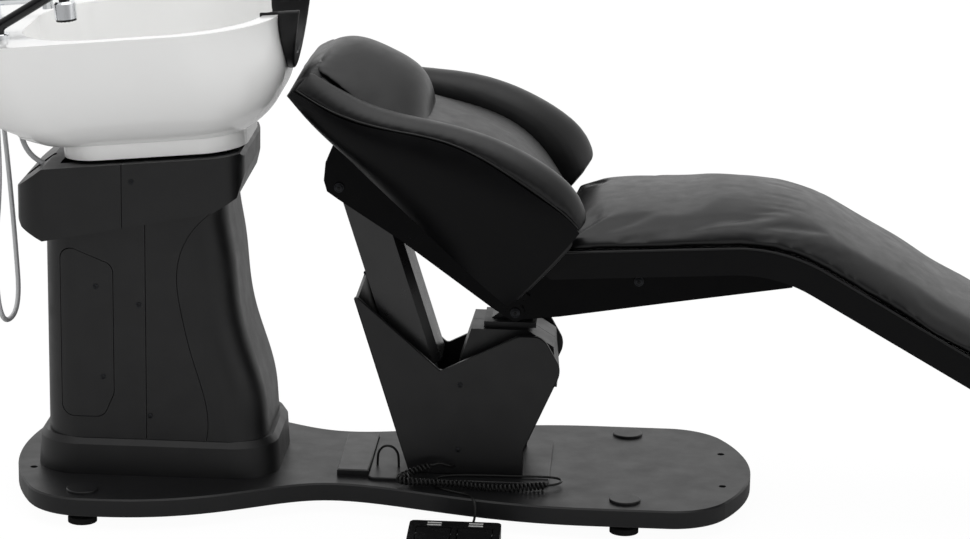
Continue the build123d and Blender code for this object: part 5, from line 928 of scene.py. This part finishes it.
def make_pillow_shoulder(side, name):
    """The soft edge that joins the head pillow to a wing, level with the seam between them."""
    rings = []
    for (s, _, seam), wing in zip(PILLOW_SEAM, SHOULDER_HALVES):
        outline = ((0.125, seam - 0.01), (0.150, seam), (wing, seam - 0.004), (wing, seam - 0.13),
                   (0.125, seam - 0.13))
        rings.append([back_spot(s * BACK_LENGTH, side * across, n * BACK_HEIGHT) for across, n in outline])
    sides = len(rings[0])
    faces = [tuple(range(sides)), tuple(range((len(rings) - 1) * sides, len(rings) * sides))]
    for k in range(len(rings) - 1):
        a = k * sides
        faces += [(a + j, a + (j + 1) % sides, a + sides + (j + 1) % sides, a + sides + j) for j in range(sides)]
    piece = new_piece(name, np.array([spot for ring in rings for spot in ring]), faces)
    remesh(piece, FOAM_VOXEL)
    smooth(piece, 6)
    return dress(piece, "black_leather", "chair")


def wing_front_line(side):
    return through_points([back_spot(s * BACK_LENGTH, side * across, n * BACK_HEIGHT)
                           for s, across, n in WING_FRONT], 60)


def pad_line():
    """The pad's underside from the side: how far it runs straight, its turn, its tangent and its directions."""
    leg = Vector((math.cos(LEG_ANGLE), 0.0, -math.sin(LEG_ANGLE)))
    seat = KNEE - SEAT_REAR
    turn = seat.angle(leg)
    tangent = KNEE_RADIUS * math.tan(turn / 2)
    return seat.length - tangent, turn, tangent, seat.normalized(), leg


def pad_run():
    """The whole length of the pad's underside."""
    flat, turn, tangent, _, _ = pad_line()
    return flat - tangent + KNEE_RADIUS * turn + LEG_LENGTH


def pad_spot(run, across, rise):
    """A place on the seat pad: along its underside from the seat's rear, across, and up from it."""
    flat, turn, tangent, ahead, leg = pad_line()
    arc = KNEE_RADIUS * turn
    if run <= flat:
        spot, direction = SEAT_REAR + ahead * run, ahead
    elif run <= flat + arc:
        angle = (run - flat) / KNEE_RADIUS
        up = Vector((-ahead.z, 0.0, ahead.x))
        centre = SEAT_REAR + ahead * flat - up * KNEE_RADIUS
        spot = centre + (up * math.cos(angle) + ahead * math.sin(angle)) * KNEE_RADIUS
        direction = ahead * math.cos(angle) - up * math.sin(angle)
    else:
        spot, direction = KNEE + leg * (tangent + run - flat - arc), leg
    spot = spot + Vector((-direction.z, 0.0, direction.x)) * rise
    return np.array((spot.x, across, spot.z))


def pad_loop(half, rise):
    """A closed line round the seat pad with round corners, as high above its underside as the rise."""
    corner = PIPING_CORNER
    start, end = PIPING_REAR_INSET + corner, pad_run() - PIPING_FOOT_INSET - corner
    spots = []
    for turn, (run, side) in enumerate(((start, -1), (end, -1), (end, 1), (start, 1))):
        for step in range(9):
            angle = math.pi / 2 * (turn + 2 + step / 8)
            spots.append((run + corner * math.cos(angle), side * (half - corner) + corner * math.sin(angle), 0.0))
    spots.append(spots[0])
    return np.array([pad_spot(run, across, rise) for run, across, _ in even_points(np.array(spots), PIPING_POINTS)])


def make_seat_pad():
    piece = cad_copy("seat_pad", "seat_pad_cover")
    remesh(piece, PAD_VOXEL)
    fill_out(piece, 3, WORLD_UP, -0.3, 8 * MM)
    return finish_cover(piece, "seat_pad", "chair")


def make_neck_rest():
    piece = cad_copy("neck_rest", "neck_rest_foam")
    remesh(piece, NECK_VOXEL)
    smooth(piece, 6)
    dress(piece, "foam_rubber", "bowl")
    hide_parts("neck_rest")
    return piece


# Floor, world light and lamps

def make_studio():
    floor_mesh = bpy.data.meshes.new("floor")
    corners = [(x * FLOOR_HALF, y * FLOOR_HALF, 0) for x, y in ((-1, -1), (1, -1), (1, 1), (-1, 1))]
    floor_mesh.from_pydata(corners, [], [(0, 1, 2, 3)])
    floor = bpy.data.objects.new("floor", floor_mesh)
    scene.collection.objects.link(floor)
    pale = bpy.data.materials.new("pale_floor")
    pale.use_nodes = True
    tree = pale.node_tree
    tree.nodes.clear()
    end = add_node(tree, "OutputMaterial", {})
    path = add_node(tree, "LightPath", {})
    bare = add_node(tree, "BsdfDiffuse", {"Color": hex_colour("c8c8c8")})
    bright = add_node(tree, "Emission", {"Color": (1, 1, 1, 1), "Strength": FLOOR_GLOW})
    part = add_node(tree, "Math", {"operation": "MULTIPLY", 1: GLOW_SHARE}, {0: path.outputs["Is Camera Ray"]})
    both = add_node(tree, "MixShader", {}, {0: part.outputs[0], 1: bare.outputs[0], 2: bright.outputs[0]})
    tree.links.new(both.outputs[0], end.inputs["Surface"])
    floor.data.materials.append(pale)

    world = bpy.data.worlds.new("studio")
    scene.world = world
    world.use_nodes = True
    tree = world.node_tree
    tree.nodes.clear()
    end = add_node(tree, "OutputWorld", {})
    path = add_node(tree, "LightPath", {})
    where = add_node(tree, "TexCoord", {})
    parts = add_node(tree, "SeparateXYZ", {}, {"Vector": where.outputs["Generated"]})
    behind = add_node(tree, "MapRange", {"From Min": -0.5, "From Max": 0.5, "To Min": 0.08, "To Max": 1.0},
                      {"Value": parts.outputs["Y"]})
    beside = add_node(tree, "MapRange", {"From Min": 0.4, "From Max": 0.95, "To Min": 0.0, "To Max": 1.0},
                      {"Value": parts.outputs["X"]})
    above = add_node(tree, "MapRange", {"From Min": 0.1, "From Max": 0.9, "To Min": 0.0, "To Max": 0.85},
                     {"Value": parts.outputs["Z"]})
    level = add_node(tree, "Math", {"operation": "MAXIMUM"}, {0: behind.outputs[0], 1: above.outputs[0]})
    around = add_node(tree, "Math", {"operation": "MAXIMUM"}, {0: level.outputs[0], 1: beside.outputs[0]})
    seen = add_node(tree, "Math", {"operation": "MAXIMUM"}, {0: path.outputs["Is Camera Ray"], 1: around.outputs[0]})
    light = add_node(tree, "Background", {"Color": (1, 1, 1, 1)}, {"Strength": seen.outputs[0]})
    tree.links.new(light.outputs[0], end.inputs["Surface"])

    add_lamp("overhead_softbox", (0.1, -0.3, 3.2), (0.1, 0.0, 0.5), 3.2, 2.4, OVERHEAD_WATTS, True)
    add_lamp("front_fill", (-0.4, -4.2, 1.6), (0.1, 0.0, 0.5), 3.0, 2.0, FRONT_WATTS, False)


def add_lamp(name, place, target, width, depth, power, in_gloss):
    data = bpy.data.lights.new(name, "AREA")
    data.shape = "RECTANGLE"
    data.size = width
    data.size_y = depth
    data.energy = power
    lamp = bpy.data.objects.new(name, data)
    scene.collection.objects.link(lamp)
    aim = Vector(target) - Vector(place)
    lamp.matrix_world = Matrix.Translation(place) @ aim.to_track_quat("-Z", "Y").to_matrix().to_4x4()
    lamp.visible_glossy = in_gloss


def finish_wing(side, name, bolster, pillow):
    """Welt, stitches and rolled front edge of a wing, and the soft edge between it and the pillow."""
    welt(name + "_wing_welt", laid_on([bolster], rim_line(side), WELT_RADIUS * 0.3))
    shoulder = make_pillow_shoulder(side, name + "_pillow_shoulder")
    edge = laid_on([bolster, frame["nodes"]["back_shell"]], wing_front_line(side), FRONT_ROLL * 0.2)
    roll = FRONT_ROLL * np.sin(np.linspace(0.12, math.pi - 0.12, len(edge))) ** 0.4
    leather_roll(name + "_wing_front_roll", edge, roll, ROLL_SIDES)
    for offset, where in ((-STITCH_BESIDE, "inner"), (STITCH_BESIDE, "outer")):
        beside = rim_line(side) + np.array((0.0, side * offset, 0.0))
        stitches(name + "_wing_stitches_" + where, laid_on([bolster], beside, STITCH_LIFT), "cord_black", "chair")
    seam = through_points([back_spot(s * BACK_LENGTH, side * across, rise * BACK_HEIGHT)
                           for s, across, rise in PILLOW_SEAM], 70)
    stitches(name + "_pillow_stitches", laid_on([pillow, shoulder], seam, STITCH_LIFT), "cord_black", "chair")


dress_cad_nodes()
make_shower_hose()
make_supply_pipe()
make_footswitch_cord()
make_spare_loop()
make_back_cushion()
head_pillow = make_pillow()
near_bolster = make_bolster(-1, "near_bolster")
far_bolster = make_bolster(1, "far_bolster")
make_seat_pad()
make_head_end()
make_neck_rest()
make_screw_heads("cover_screw", COVER_SCREWS, SCREW_HEAD, SCREW_RAISE, "base")
make_screw_heads("bed_bolt", BED_BOLTS, BOLT_HEAD, BOLT_RAISE, "chair")
finish_wing(-1, "near", near_bolster, head_pillow)
finish_wing(1, "far", far_bolster, head_pillow)
welt("seat_pad_piping", pad_loop(PAN_HALF + WELT_RADIUS * 0.4, PAN_THICK))
make_studio()
